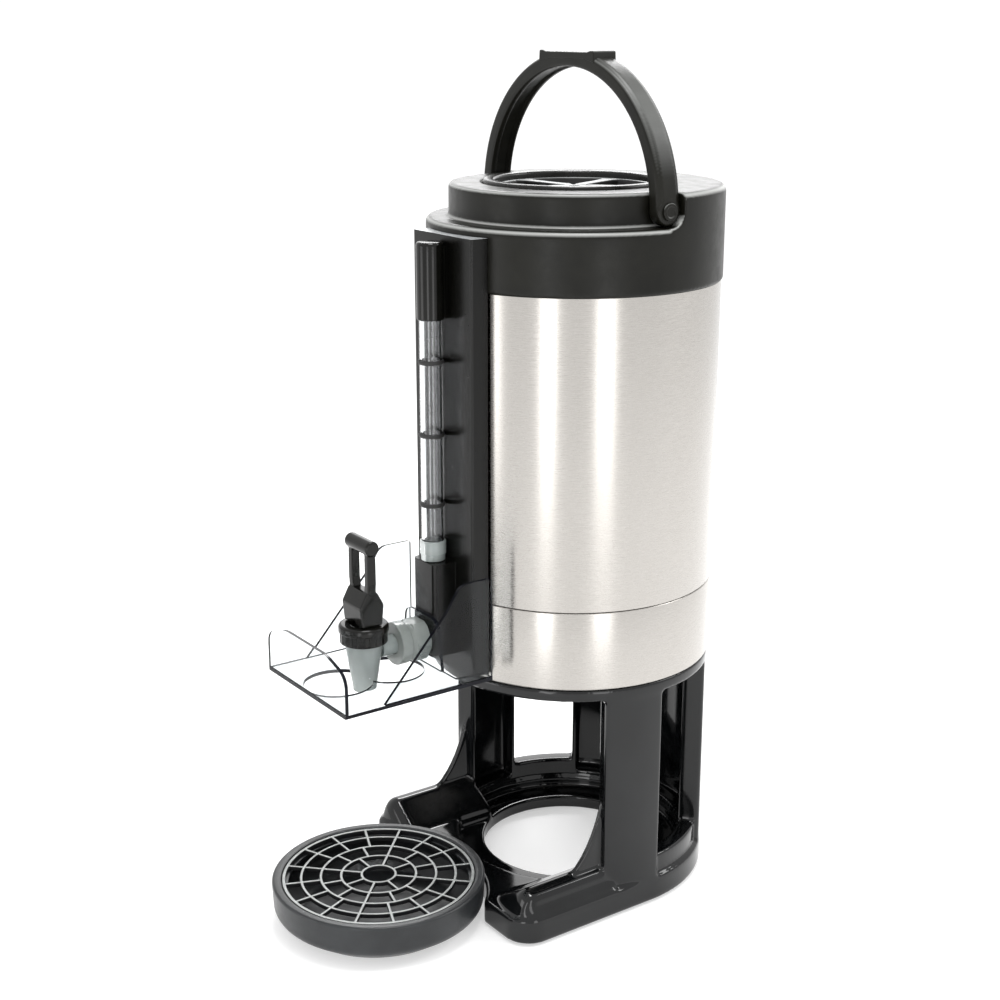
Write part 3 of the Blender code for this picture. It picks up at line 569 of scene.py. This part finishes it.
# The spoke tops and rim above the height are painted pale: a painted reflection.
WHEEL = painted_sheen_plastic(
    "wheel_plastic",
    dark=(0.006, 0.006, 0.006),
    pale_low=(0.16, 0.165, 0.165),
    pale_high=(0.26, 0.27, 0.27),
    height=517.5,
)
SHEET = clear("clear_sheet", tint=(0.85, 0.875, 0.885), rough=(0.01, 0.04), ior=1.18)
# Near-black and opaque: painted shade for the dark look of the clear sheet's cut edges.
SHEET_EDGE_SHADE = plastic(
    "clear_sheet_edge_shade",
    dark=(0.001, 0.0012, 0.003),
    light=(0.005, 0.006, 0.010),
    rough=(0.10, 0.22),
    grain=0.006,
    Specular_IOR_Level=0.15,
)
TUBE = clear("clear_tube", tint=(0.95, 0.96, 0.97), rough=(0.01, 0.04), ior=1.42)
FAUCET = plastic(
    "faucet_plastic",
    dark=(0.30, 0.335, 0.325),
    light=(0.38, 0.42, 0.41),
    rough=(0.16, 0.28),
    grain=0.01,
    Transmission_Weight=0.35,
    IOR=1.5,
)
COUPLING = plastic(
    "coupling_plastic",
    dark=(0.25, 0.28, 0.265),
    light=(0.42, 0.45, 0.43),
    rough=(0.15, 0.28),
    grain=0.01,
    Transmission_Weight=0.45,
    IOR=1.5,
)
RUBBER = plastic(
    "rubber",
    dark=(0.006, 0.006, 0.006),
    light=(0.014, 0.014, 0.014),
    rough=(0.5, 0.7),
    grain=0.05,
    grain_scale=1500,
)
SILICONE = plastic(
    "silicone",
    dark=(0.70, 0.70, 0.66),
    light=(0.82, 0.82, 0.78),
    rough=(0.4, 0.55),
    grain=0.03,
    grain_scale=1200,
)
FOAM = plastic(
    "foam",
    dark=(0.68, 0.60, 0.38),
    light=(0.80, 0.73, 0.52),
    rough=(0.8, 0.95),
    grain=0.4,
    grain_scale=500,
)

SLOT_MATERIALS = {
    "steel_shell": STEEL,
    "liner_steel": LINER,
    "collar_plastic": MATTE,
    "stand_plastic": GLOSS,
    "housing_plastic": HOUSING,
    "tray_plastic": TRAY,
    "grate_plastic": GRATE,
    "clear_sheet": SHEET,
    "clear_tube": TUBE,
    "faucet_plastic": FAUCET,
    "coupling_plastic": COUPLING,
    "rubber": RUBBER,
    "silicone": SILICONE,
    "foam": FOAM,
    "fitting_steel": FITTING,
}


def paint_nodes():
    """Gives every CAD node the material of its slot."""
    for entry in frame["record"]["subparts"]:
        node = frame["nodes"][entry["node"]]
        node.data.materials.clear()
        node.data.materials.append(SLOT_MATERIALS[entry["material_slot"]])


# ---------------------------------------------------------------- tank and collar


def build_shells():
    """The two steel skins of the tank, and the seam between them."""
    wall = 0.8
    seam_gap = 0.4
    seam_edge = 0.7
    inner_r = SHELL_R - wall
    upper = [
        (SHELL_R, SHELL_TOP_Z),
        (SHELL_R, SEAM_Z, seam_edge),
        (inner_r, SEAM_Z),
        (inner_r, SHELL_TOP_Z),
    ]
    wrap = turned(rounded(upper, steps=3), 256)
    piece("tank_wrap", wrap, "dispenser", STEEL, ["outer_shell"])
    base_z = SHELL_BASE_Z
    rim_z = SEAM_Z - seam_gap
    cup = [
        (0, base_z + 1.2),
        (inner_r, base_z + 1.2, 1.2),
        (inner_r, rim_z),
        (SHELL_R, rim_z, seam_edge),
        (SHELL_R, base_z, 1.6),
        (0, base_z),
    ]
    lower = turned(rounded(cup, closed=False, steps=4), 256, closed=False)
    boolean(lower, [rod(BORE_R, 90, 115, "Y", (0, 0, SHANK_Z))])
    piece("base_wrap", lower, "dispenser", STEEL, ["lower_shell"])


def build_collar():
    """The collar: high behind the pivots, with a ledge in front that the handle folds onto."""
    bore_r = 66.0
    low_z = 457.7
    spigot_z = 447.0
    ledge_z = 501.0
    step_r = 90.0
    spigot = [
        (103.8, low_z),
        (103.8, spigot_z),
        (101.4, spigot_z),
        (101.4, 497.0),
        (bore_r, 497.0),
    ]
    bore = (bore_r, COLLAR_TOP_Z, 1.5)
    skirt = (COLLAR_R, low_z, 1.0)
    behind = [bore, (COLLAR_R, COLLAR_TOP_Z, 5.0), skirt] + spigot
    step = [(step_r, COLLAR_TOP_Z, 3.0), (step_r, ledge_z, 2.6), (COLLAR_R, ledge_z, 4.0)]
    ahead = [bore] + step + [skirt] + spigot
    rear = turned(rounded(behind, steps=6), 256)
    boolean(rear, [box((-130, -130, 440), (130, 0, 540))])
    slot = arc(10.4, 180, 360, 24, (0, PIVOT_Z)) + [(10.4, 540), (-10.4, 540)]
    for side in (-1, 1):
        low, high = sorted((side * 89.4, side * 120))
        boolean(rear, [prism([slot], low, high, "X")])
    front = turned(rounded(ahead, steps=6), 256)
    overlap = 0.6
    boolean(front, [box((-130, overlap, 440), (130, 130, 540))])
    whole = remeshed(boolean(front, [rear], "UNION"), 1.1, 5)
    piece("collar", whole, "dispenser", DRUM, ["top_collar"], angle=80)


def build_lid():
    """The lid's ring, and the brew insert in it with its five spokes."""
    ring = [
        (57.5, LID_TOP_Z, 2.2),
        (LID_R, LID_TOP_Z, 1.8),
        (LID_R, 491.6, 1.0),
        (52.0, 491.6),
        (52.0, 499.4),
        (57.5, 499.4),
    ]
    rim = turned(rounded(ring, steps=5), 192)
    piece("lid_rim", rim, "lid", SHINE, ["lid_ring"])
    bowl = [
        (4.6, 521.0),
        (10.0, 521.0, 1.2),
        (10.0, 498.4, 2.0),
        (51.0, 503.0, 3.0),
        (54.2, 522.0, 0.8),
        (57.1, 522.0, 1.2),
        (57.1, 499.7),
        (51.0, 499.7),
        (9.4, 495.0),
        (9.4, 486.0),
        (6.3, 486.0),
        (6.3, 495.0),
        (4.6, 495.0),
    ]
    wheel = turned(rounded(bowl, steps=4), 128)
    edge = [(8, -4.2), (30, -3.7), (48, -4.6), (55.6, -9)]
    spoke = edge + [(u, -v) for u, v in reversed(edge)]
    for i in range(5):
        turn = Matrix.Rotation(math.radians(-30 + 72 * i), 4, "Z")
        boolean(wheel, [moved(prism([spoke], 516.6, 521.8), turn)], "UNION")
        drain = rod(2.4, 490, 505, steps=16, centre=(*bearing(22, 96 + 72 * i), 0))
        boolean(wheel, [drain])
    wheel = remeshed(wheel, 0.7, 4)
    piece("lid_wheel", wheel, "funnel", WHEEL, ["brew_funnel"], angle=80)


def build_handle():
    """The bail: an arch with a raised band on its outer face and a channel on its inner one."""
    outer_r = HANDLE_OUTER_R
    inner_r = outer_r - 11.1
    half = span("handle", "y")[1]
    shoulder = outer_r - 0.9
    section = [
        (inner_r, half, 2.0),
        (shoulder, half, 2.2),
        (shoulder, 6.6, 0.5),
        (outer_r, 6.0, 0.8),
        (outer_r, -6.0, 0.8),
        (shoulder, -6.6, 0.5),
        (shoulder, -half, 2.2),
        (inner_r, -half, 2.0),
        (inner_r, -5.4, 0.5),
        (inner_r + 1.4, -4.6, 0.6),
        (inner_r + 1.4, 4.6, 0.6),
        (inner_r, 5.4, 0.5),
    ]
    arch = turned(rounded(section, steps=3), 256, "Y", (0, 0, PIVOT_Z))
    boolean(arch, [box((-120, -20, PIVOT_Z - 120), (120, 20, PIVOT_Z))])
    boolean(arch, [box((-60, -20, HANDLE_TOP_Z - 0.2), (60, 20, PIVOT_Z + 120))])
    for side in (-1, 1):
        low, high = sorted((side * inner_r, side * (outer_r - 0.1)))
        eye = rod(half, low, high, "X", (0, 0, PIVOT_Z), 64, 2.0)
        boolean(arch, [eye], "UNION")
        pin_x = side * 96.8
        boolean(arch, [rod(4.2, pin_x - 12, pin_x + 12, "X", (0, 0, PIVOT_Z), 32)])
    arch = remeshed(arch, 0.7, 3)
    piece("bail", arch, "handle", MATTE, ["handle"], angle=80)
    top = GRIP_TOP_Z
    low = span("handle_grip", "z")[0]
    pad = [(-31, low - 4.8), (-20, low - 2), (20, low - 2), (31, low - 4.8)]
    pad += [(30.5, top, 1.2), (26.5, top, 1), (23.5, top - 0.9, 1.5)]
    pad += [(-23.5, top - 0.9, 1.5), (-26.5, top, 1), (-30.5, top, 1.2)]
    grip = prism([rounded(pad, steps=4)], -10, 10, "Y")
    piece("grip_pad", grip, "handle", MATTE, ["handle_grip"], edge=0.7)
    for side, node in ((-1, "pivot_pin_left"), (1, "pivot_pin_right")):
        reach = abs(span(node, "x")[0 if side < 0 else 1])
        head = [(0, reach - 0.5), (3.2, reach - 0.5, 0.8), (4.2, reach, 0.6), (6.0, reach, 0.7)]
        head += [(6.0, 102.6), (4.0, 102.6), (4.0, 82), (0, 82)]
        pin = turned(rounded(head, closed=False, steps=4), 64, "X", (0, 0, PIVOT_Z), closed=False)
        if side < 0:
            moved(pin, Matrix.Scale(-1, 4, (1, 0, 0)))
            pin.data.flip_normals()
        name = "pivot_cap_left" if side < 0 else "pivot_cap_right"
        piece(name, pin, "dispenser", MATTE, [node])


# ---------------------------------------------------------------- stand


def deck_outline():
    """Plan outline of the base: round behind, and two feet with a bay for the tray between."""
    bay_r = TRAY_R + 1.0
    bay_half = math.sqrt(bay_r**2 - (STAND_FRONT_Y - TRAY_Y) ** 2)
    bay_edge = math.degrees(math.atan2(STAND_FRONT_Y - TRAY_Y, bay_half))
    feet = [(-STAND_R, 0), (-STAND_R, STAND_FRONT_Y, 20), (-bay_half, STAND_FRONT_Y)]
    feet = rounded(feet, closed=False, steps=12)
    bay = arc(bay_r, 180 - bay_edge, bay_edge, 48, (0, TRAY_Y))
    return arc(STAND_R, 0, 180, 96)[:-1] + feet[:-1] + bay + mirrored(feet[:-1])[:-1]


def foot_mound(side):
    """A foot's long rounded back: steep outside, gently sloping inside, and closed in front."""
    crest_x = 87
    low_z = 12
    nose_y = -103
    nose_length = 12.5
    across = [(56, low_z), (104, low_z), (104, 20, 2), (99, 25, 4), (96, 35, 4)]
    across += [(crest_x, 38.5, 7), (58, 21, 8)]
    section = rounded(across, steps=5)
    stations = [(-33, 1.0), (-70, 1.0), (nose_y, 1.0)]
    for i in range(1, 8):
        angle = math.pi * i / 16
        stations.append((nose_y - nose_length * math.sin(angle), math.cos(angle)))
    bm = bmesh.new()
    rings = []
    for y, scale in stations:
        narrowing = 0.35 + 0.65 * scale
        ring = []
        for u, v in section:
            x = side * (crest_x + (u - crest_x) * narrowing)
            ring.append(bm.verts.new((x, y, low_z + (v - low_z) * scale)))
        rings.append(ring)
    for near, far in zip(rings, rings[1:]):
        for i in range(len(near)):
            bm.faces.new((near[i - 1], near[i], far[i], far[i - 1]))
    bm.faces.new(rings[0])
    bm.faces.new(rings[-1])
    return mesh_object(bm)


def stand_fin(side):
    """The thin web that sweeps from the ring down to a foot."""
    x = side * 88.5
    half = 2.2
    sweep = []
    for i in range(33):
        angle = math.pi * i / 64
        sweep.append((-84 + 50 * math.sin(angle), 31 + 94.5 * (1 - math.cos(angle))))
    outline = [(-110, 15), (-110, 21)] + sweep + [(-34, 173), (-20, 173), (-20, 15)]
    return prism([outline], x - half, x + half, "X")


def build_stand():
    """The moulded stand, melted together from its parts so that every joint is filleted."""
    deck_z = 20.0
    ring_base_z = 169.5
    inner_r = 88.0
    outer_r = STAND_R - 0.4
    walls = ((67, 93), (-98, -67), (130, 230))
    sills = ((92, 131), (-131, -97))
    deck = prism([deck_outline(), circle(66, 128)], 1.5, deck_z)
    boolean(deck, [turned([(86, 12), (61, 12), (61, 25), (86, 25)], 128)])
    ring = [(STAND_R, STAND_TOP_Z), (STAND_R, ring_base_z), (80, ring_base_z), (80, STAND_TOP_Z)]
    solids = [deck, turned(ring, 192)]
    for start, end in walls:
        plan = sector(inner_r, outer_r, start, end, int(end - start) // 2)
        solids.append(prism([plan], 15, ring_base_z + 4))
    for start, end in sills:
        solids.append(prism([sector(inner_r, 100.5, start, end, 12)], 15, 36))
    for side in (-1, 1):
        solids.append(foot_mound(side))
        solids.append(stand_fin(side))
    stand = remeshed(joined(solids), 1.3)
    cutters = []
    for start, end in walls:
        steps = int(end - start) // 2
        channel = sector(inner_r - 4, STAND_R - 3.5, start + 2.5, end - 2.5, steps)
        cutters.append(prism([channel], deck_z + 6, ring_base_z - 4))
    for x, y in ((-90, -102), (90, -102), (-62, 70), (62, 70)):
        cutters.append(rod(BORE_R, 0, 4.3, centre=(x, y, 0)))
    stand = remeshed(boolean(stand, cutters), 1.15, 8)
    piece("moulded_stand", stand, "dispenser", GLOSS, ["stand"], angle=80)


# ---------------------------------------------------------------- drip tray


def build_tray():
    """The drip tray, and its grate of rings with staggered bars between them."""
    wall = [
        (0, 2.4),
        (59.0, 2.4, 8),
        (73.6, 13.0, 6),
        (74.4, 27.2),
        (66.0, 27.2, 0.6),
        (66.0, 29.4, 0.6),
        (71.0, 29.4),
        (71.0, 33.0, 0.8),
        (72.6, TRAY_TOP_Z, 0.8),
        (TRAY_R, TRAY_TOP_Z, 2.0),
        (76.8, 12.0, 8),
        (60.0, 0, 4),
        (0, 0),
    ]
    tray = turned(rounded(wall, closed=False, steps=6), 192, centre=(0, TRAY_Y, 0), closed=False)
    piece("tray", tray, "tray", TRAY, ["drip_tray", "tray_floor"], angle=50)
    rings = [12.4, 27.4, 42.2, 56.5, 69.0]
    spokes = [8, 12, 16, 16]
    bar_half = 1.0
    cells = [circle(GRATE_R, 160)]
    for inner, outer, count in zip(rings, rings[1:], spokes):
        for i in range(count):
            start = 360 * (i + 0.5 * (count // 4 % 2)) / count
            low = inner + bar_half
            high = outer - bar_half
            trim_low = math.degrees(bar_half / low)
            trim_high = math.degrees(bar_half / high)
            turn = 360 / count
            near = arc(low, start + trim_low, start + turn - trim_low, 8)
            far = arc(high, start + trim_high, start + turn - trim_high, 10)
            cells.append(near + list(reversed(far)))
    cells.append(circle(rings[0] - bar_half, 48))
    grate = prism(cells, GRATE_LOW_Z, GRATE_TOP_Z)
    moved(grate, Matrix.Translation((0, TRAY_Y, 0)))
    piece("grate", grate, "grate", GRATE, ["drip_grate"], edge=0.5, angle=60)


# ---------------------------------------------------------------- sight gauge


def build_gauge():
    """The gauge housing on the tank's front, and the sight tube with its cap, seat and rings."""
    back_r = COLLAR_R + 0.4
    half = HOUSING_HALF + 1.5
    edge = math.degrees(math.asin(half / back_r))
    back = [bearing(back_r, -edge + 2 * edge * i / 24) for i in range(25)]
    front = [(half, -90), (half, HOUSING_FRONT_Y, 2), (-half, HOUSING_FRONT_Y, 2), (-half, -90)]
    outline = back + rounded(front, closed=False, steps=8)[1:-1]
    housing = prism([outline], HOUSING_BASE_Z, HOUSING_TOP_Z)
    block = [(14, -112), (14, -132, 4), (-14, -132, 4), (-14, -112)]
    boolean(housing, [prism([rounded(block, steps=8)], 197, 266)], "UNION", "EXACT")
    pocket = box((-30, HOUSING_FRONT_Y + 2.6, 222), (30, -90, HOUSING_TOP_Z - 3))
    shank_bore = rod(BORE_R, 90.3, 140.7, "Y", (0, 0, SHANK_Z))
    tube_bore = rod(BORE_R, 245, 300, centre=(0, TUBE_Y, 0))
    boolean(housing, [pocket, shank_bore, tube_bore], solver="EXACT")
    piece(
        "gauge_cover",
        housing,
        "dispenser",
        COVER,
        ["gauge_housing"],
        edge=1.0,
        angle=40,
    )
    at = (0, TUBE_Y, 0)
    glass = [(TUBE_R, TUBE_TOP_Z, 0.5), (TUBE_R, TUBE_LOW_Z, 0.5)]
    glass += [(6.2, TUBE_LOW_Z), (6.2, TUBE_TOP_Z)]
    tube = turned(rounded(glass), 96, centre=at)
    piece("sight_tube", tube, "dispenser", TUBE, ["gauge_tube"])
    cap_inside_z = 486
    sleeve = [(0, CAP_TOP_Z), (CAP_R, CAP_TOP_Z, 2.5), (CAP_R, CAP_LOW_Z, 0.8)]
    sleeve += [(BORE_R, CAP_LOW_Z), (BORE_R, cap_inside_z), (0, cap_inside_z)]
    cap = turned(rounded(sleeve, closed=False), 96, centre=at, closed=False)
    rib = box((-5, -118, 440), (5, HOUSING_FRONT_Y - 0.3, 488))
    boolean(cap, [rib], "UNION")
    boolean(cap, [rod(BORE_R, 430, cap_inside_z, centre=at, steps=96)])
    piece(
        "gauge_cap",
        cap,
        "dispenser",
        HOUSING,
        ["gauge_top_cap"],
        edge=0.5,
        angle=40,
    )
    low, high = span("gauge_lower_fitting", "z")
    waist_r = CAP_R - 0.7
    seat = [(CAP_R, high, 1.2), (CAP_R, low + 5), (waist_r, low + 4.4), (waist_r, low, 0.5)]
    seat += [(BORE_R, low), (BORE_R, high)]
    fitting = turned(rounded(seat), 96, centre=at)
    piece(
        "tube_fitting", fitting, "dispenser", FAUCET, ["gauge_lower_fitting"]
    )
    for i in range(1, 4):
        node = f"gauge_marker_{i}"
        low, high = span(node, "z")
        section = rounded([(9.1, high, 1.2), (9.1, low, 1.2), (BORE_R, low), (BORE_R, high)])
        band = turned(section, 96, centre=at)
        piece(f"tube_ring_{i}", band, "dispenser", RUBBER, [node])


# ---------------------------------------------------------------- faucet


def build_shank():
    """The shank and its coupling nut, a round collar with six gripping flats."""
    at = (0, 0, SHANK_Z)
    shank = [(8, 150.2), (8, 87.3), (11.5, 87.3), (11.5, 84.8), (5, 84.8), (5, 150.2)]
    tail = turned(shank, 64, "Y", at)
    boolean(tail, [rod(3.5, SHANK_Z, 225, centre=(0, TUBE_Y, 0))])
    piece(
        "shank_tail", tail, "dispenser", COUPLING, ["faucet_shank"], edge=0.3
    )
    nut = [
        (15.5, 158.6, 1.0),
        (15.5, 150.4, 0.8),
        (14.3, 149.8, 0.5),
        (14.3, 146.6, 0.5),
        (15.5, 146.0, 0.8),
        (15.5, 135.2, 1.2),
        (BORE_R, 135.2),
        (BORE_R, 148.0),
        (12.4, 148.0),
        (12.4, 156.6),
        (7.6, 156.6),
        (7.6, 158.6),
    ]
    nut = turned(rounded(nut, steps=4), 96, "Y", at)
    for i in range(6):
        flat = box((-20, -147.4, 13.9), (20, -134, 24))
        turn = Matrix.Translation(at) @ Matrix.Rotation(math.radians(60 * i), 4, "Y")
        boolean(nut, [moved(flat, turn)])
    piece(
        "coupling",
        nut,
        "dispenser",
        COUPLING,
        ["coupling_nut"],
        edge=0.3,
        angle=30,
    )


def build_faucet():
    """The faucet's tapered body with its inlet, and the ribbed cap on top."""
    at = (0, FAUCET_Y, 0)
    outside = [(0, 224), (14.6, 224, 0.6), (14.6, 216.6, 0.6), (13.4, 216.0, 0.8)]
    outside += [(8.4, 183, 4), (8.4, 181, 0.6), (0, 181)]
    body = turned(rounded(outside, closed=False, steps=4), 96, centre=at, closed=False)
    neck = [(0, 170), (7.2, 170), (7.2, 158.9), (7.2, 156), (12, 156), (12, 152.2), (0, 152.2)]
    boolean(body, [turned(neck, 64, "Y", (0, 0, SHANK_Z), closed=False)], "UNION")
    bore = [(0, 226), (11, 226), (11, 206), (5.6, 201), (5.6, 178), (0, 178)]
    boolean(body, [turned(bore, 64, centre=at, closed=False)])
    boolean(body, [rod(5, 148, 176, "Y", (0, 0, SHANK_Z))])
    piece("nozzle", body, "dispenser", FAUCET, ["faucet_body"], edge=0.5)
    top = BONNET_TOP_Z
    low = BONNET_LOW_Z
    ribbed_r = BONNET_R - 0.9
    cap = [
        (2.9, top - 0.6),
        (9.0, top - 0.6, 1.0),
        (11.0, top, 1.0),
        (BONNET_R, top, 2.4),
        (BONNET_R, low + 8.4, 0.5),
        (ribbed_r, low + 7.8, 0.4),
        (ribbed_r, low, 0.8),
        (15.0, low),
        (15.0, 227.6),
        (2.9, 227.6),
    ]
    cap = turned(rounded(cap, steps=4), 120, centre=at)
    for i in range(24):
        place = (*bearing(BONNET_R - 0.5, 15 * i), 0)
        groove = rod(0.9, low - 1, low + 7.4, steps=12, centre=place)
        boolean(cap, [moved(groove, Matrix.Translation(at))])
    piece(
        "faucet_cap",
        cap,
        "dispenser",
        HOUSING,
        ["bonnet"],
        edge=0.25,
        angle=40,
    )


def build_lever():
    """The faucet's tipping lever: a faceted head on the stem, two arms and a round bar to pull."""
    pin_z = LEVER_PIN_Z
    y = FAUCET_Y
    head = [(-8, 231.2, 1.5), (8, 231.2, 1.5), (9.5, 246, 4)]
    head += [(4, 256, 3), (-4, 256, 3), (-9.5, 246, 4)]
    lever = prism([rounded([(y + u, v, r) for u, v, r in head], steps=6)], -12.5, 12.5, "X")
    for side in (-1, 1):
        outline = [(side * 6.4, 252), (side * 12.0, 249), (side * 13.2, 262, 4)]
        outline += [(side * 13.0, 288), (side * 8.4, 288), (side * 8.2, 262, 4)]
        arm = prism([rounded(outline, steps=5)], -3.3, 3.3, "Y")
        boolean(lever, [moved(arm, Matrix.Translation((0, y, 0)))], "UNION", "EXACT")
    bar_r = 5.4
    bar = rod(bar_r, -15, 15, "X", (0, y, span("lever", "z")[1] - bar_r), 64, 1.6)
    boolean(lever, [bar], "UNION", "EXACT")
    slot = [(3, -15), (3, -0.5), (7.2, 5.4), (7.2, 10), (-3, 10), (-3, 1), (-13.9, -14.7)]
    slot = prism([[(y + u, pin_z + v) for u, v in slot]], -2.9, 2.9, "X")
    pin_hole = rod(1.5, -10.3, 10.3, "X", (0, y, pin_z), 24)
    boolean(lever, [slot, pin_hole], solver="EXACT")
    lever = remeshed(lever, 0.45, 3)
    piece("pull_lever", lever, "lever", HOUSING, ["lever"], angle=80)


# ---------------------------------------------------------------- guard


def near(place, *surfaces):
    return min(abs(place - surface) for surface in surfaces) < 0.1


def build_guard():
    """The folded clear sheet: a floor with a keyhole, two wings, a front lip and a rear web."""
    sheet = 2.6
    top = GUARD_Z + sheet
    front = GUARD_FRONT_Y
    rear = GUARD_REAR_Y
    half = GUARD_HALF
    web_back = -132.3
    floor = [(half, rear, 4), (half, front, 3), (-half, front, 3), (-half, rear, 4)]
    floor += [(-43, rear, 2), (-41, web_back, 2), (41, web_back, 2), (43, rear, 2)]
    hole_r = 24
    front_hole_y = -203
    rear_hole_y = -161
    meet = math.degrees(math.acos((rear_hole_y - front_hole_y) / 2 / hole_r))
    keyhole = arc(hole_r, 90 + meet, 450 - meet, 48, (0, front_hole_y))[:-1]
    keyhole += arc(hole_r, -90 + meet, 270 - meet, 48, (0, rear_hole_y))[:-1]
    guard = prism([rounded(floor), keyhole], GUARD_Z, top)
    wing = [(rear, GUARD_Z), (rear, WING_TOP_Z, 2), (-136, WING_TOP_Z, 10)]
    wing += [(-147, 247, 20), (-198, top), (-198, GUARD_Z)]
    for side in (-1, 1):
        low, high = sorted((side * half, side * (half - sheet)))
        panel = prism([rounded(wing, steps=10)], low, high, "X")
        boolean(guard, [panel], "UNION", "EXACT")
    corner_z = GUARD_Z + 30
    crest_z = GUARD_Z + 38
    lip = [(-half, GUARD_Z), (half, GUARD_Z), (half, corner_z, 12)]
    lip += [(28, crest_z, 40), (-28, crest_z, 40), (-half, corner_z, 12)]
    panel = prism([rounded(lip, steps=10)], -front, -front - sheet, "Y")
    boolean(guard, [panel], "UNION", "EXACT")
    web = [(-26, GUARD_Z), (26, GUARD_Z), (20, 228, 8), (-20, 228, 8)]
    hole = circle(BORE_R, 48, (0, SHANK_Z))
    panel = prism([rounded(web), hole], -web_back, -web_back + sheet, "Y")
    boolean(guard, [panel], "UNION", "EXACT")
    # The faces are cut where two sheets meet, so that each is wholly sheet or wholly edge.
    bm = bmesh.new()
    bm.from_mesh(guard.data)
    for place, normal in (((0, 0, top), (0, 0, 1)), ((0, front + sheet, 0), (0, 1, 0))):
        parts = bm.verts[:] + bm.edges[:] + bm.faces[:]
        bmesh.ops.bisect_plane(bm, geom=parts, dist=1e-4, plane_co=place, plane_no=normal)
    bm.to_mesh(guard.data)
    bm.free()
    piece(
        "clear_guard",
        guard,
        "dispenser",
        SHEET,
        ["faucet_guard"],
        edge=0.35,
        angle=40,
    )
    # The edge faces take the painted shade of the sheet's dark edges.
    guard.data.materials.append(SHEET_EDGE_SHADE)
    for polygon in guard.data.polygons:
        x, y, z = polygon.center / MM
        y -= AXIS_Y / MM
        across, along, upward = [abs(part) > 0.99 for part in polygon.normal]
        in_floor = upward and near(z, GUARD_Z, top)
        in_wing = across and y > front + sheet and near(abs(x), half, half - sheet)
        in_lip = along and near(y, front, front + sheet)
        in_web = along and near(y, web_back, web_back - sheet)
        above = z > top + 0.1
        is_sheet = in_floor or (above and (in_wing or in_lip or in_web))
        polygon.material_index = 0 if is_sheet else 1


# ---------------------------------------------------------------- camera and studio


def build_camera():
    """A long lens from the right of the front, a little above the lid."""
    azimuth = math.radians(52.12)
    distance = 1180.8 * MM
    height = 634.7 * MM
    pitch = math.radians(16.34)
    heading = azimuth + math.radians(2.59)
    data = bpy.data.cameras.new("camera")
    data.sensor_width = 36
    data.lens = 59.12
    camera = bpy.data.objects.new("camera", data)
    camera.location = (distance * math.sin(azimuth), AXIS_Y - distance * math.cos(azimuth), height)
    level = math.cos(pitch)
    forward = Vector((-math.sin(heading) * level, math.cos(heading) * level, -math.sin(pitch)))
    camera.rotation_mode = "QUATERNION"
    camera.rotation_quaternion = forward.to_track_quat("-Z", "Y")
    bpy.context.scene.collection.objects.link(camera)
    bpy.context.scene.camera = camera


def softbox(name, degrees, distance, height, size, radiance, aim):
    """A soft light at a bearing and distance from the tank's axis, turned to a height on it.

    The camera doesn't see it, and the tank reflects it.
    """
    x, y = bearing(distance, degrees)
    place = Vector((x, y + AXIS_Y, height))
    data = bpy.data.lights.new(name, "AREA")
    data.shape = "RECTANGLE"
    data.size, data.size_y = size
    data.energy = 4 * size[0] * size[1] * radiance
    light = bpy.data.objects.new(name, data)
    light.location = place
    light.rotation_mode = "QUATERNION"
    light.rotation_quaternion = (Vector((0, AXIS_Y, aim)) - place).to_track_quat("-Z", "Y")
    light.visible_camera = False
    bpy.context.scene.collection.objects.link(light)


def build_lights():
    world = bpy.data.worlds.new("studio")
    world.use_nodes = True
    background = world.node_tree.nodes["Background"]
    background.inputs["Color"].default_value = (1, 1, 1, 1)
    background.inputs["Strength"].default_value = 1.04
    bpy.context.scene.world = world
    bpy.context.scene.view_settings.view_transform = "Standard"
    # Name, bearing, distance, height, size, radiance, and the height it is turned to.
    softbox("strip_left", 34, 0.90, 0.25, (0.17, 0.48), 3.0, 0.25)
    softbox("strip_right", 76, 0.90, 0.25, (0.22, 0.48), 2.2, 0.25)
    softbox("overhead", 60, 0.12, 1.75, (0.45, 0.45), 16, 0.3)
    softbox("back", 226, 1.5, 0.95, (1.6, 1.0), 1.3, 0.35)
    softbox("back_right", 150, 1.4, 1.35, (0.6, 0.6), 6.0, 0.4)
    softbox("strip_front", -12, 0.95, 0.25, (0.30, 0.48), 1.9, 0.25)
    softbox("rim", 232, 1.25, 1.35, (0.9, 0.3), 12, 0.3)


def build_floor():
    """A pale floor that glows a little, so that it stays white out to its far edge."""
    bm = bmesh.new()
    bmesh.ops.create_circle(bm, cap_ends=True, segments=96, radius=60)
    floor = linked(bm, "floor")
    nodes = Nodes("floor")
    cloud = nodes.noise(3, detail=2)
    color = nodes.blend(nodes.spread(cloud, 0, 1), (0.60, 0.60, 0.60), (0.62, 0.62, 0.62))
    nodes.link(color, nodes.shader.inputs["Base Color"])
    nodes.set(Roughness=0.8, Emission_Color=(1, 1, 1, 1), Emission_Strength=0.45)
    floor.data.materials.append(nodes.material)


def main():
    paint_nodes()
    build_shells()
    build_collar()
    build_lid()
    build_handle()
    build_stand()
    build_tray()
    build_gauge()
    build_shank()
    build_faucet()
    build_lever()
    build_guard()
    build_camera()
    build_lights()
    build_floor()


main()
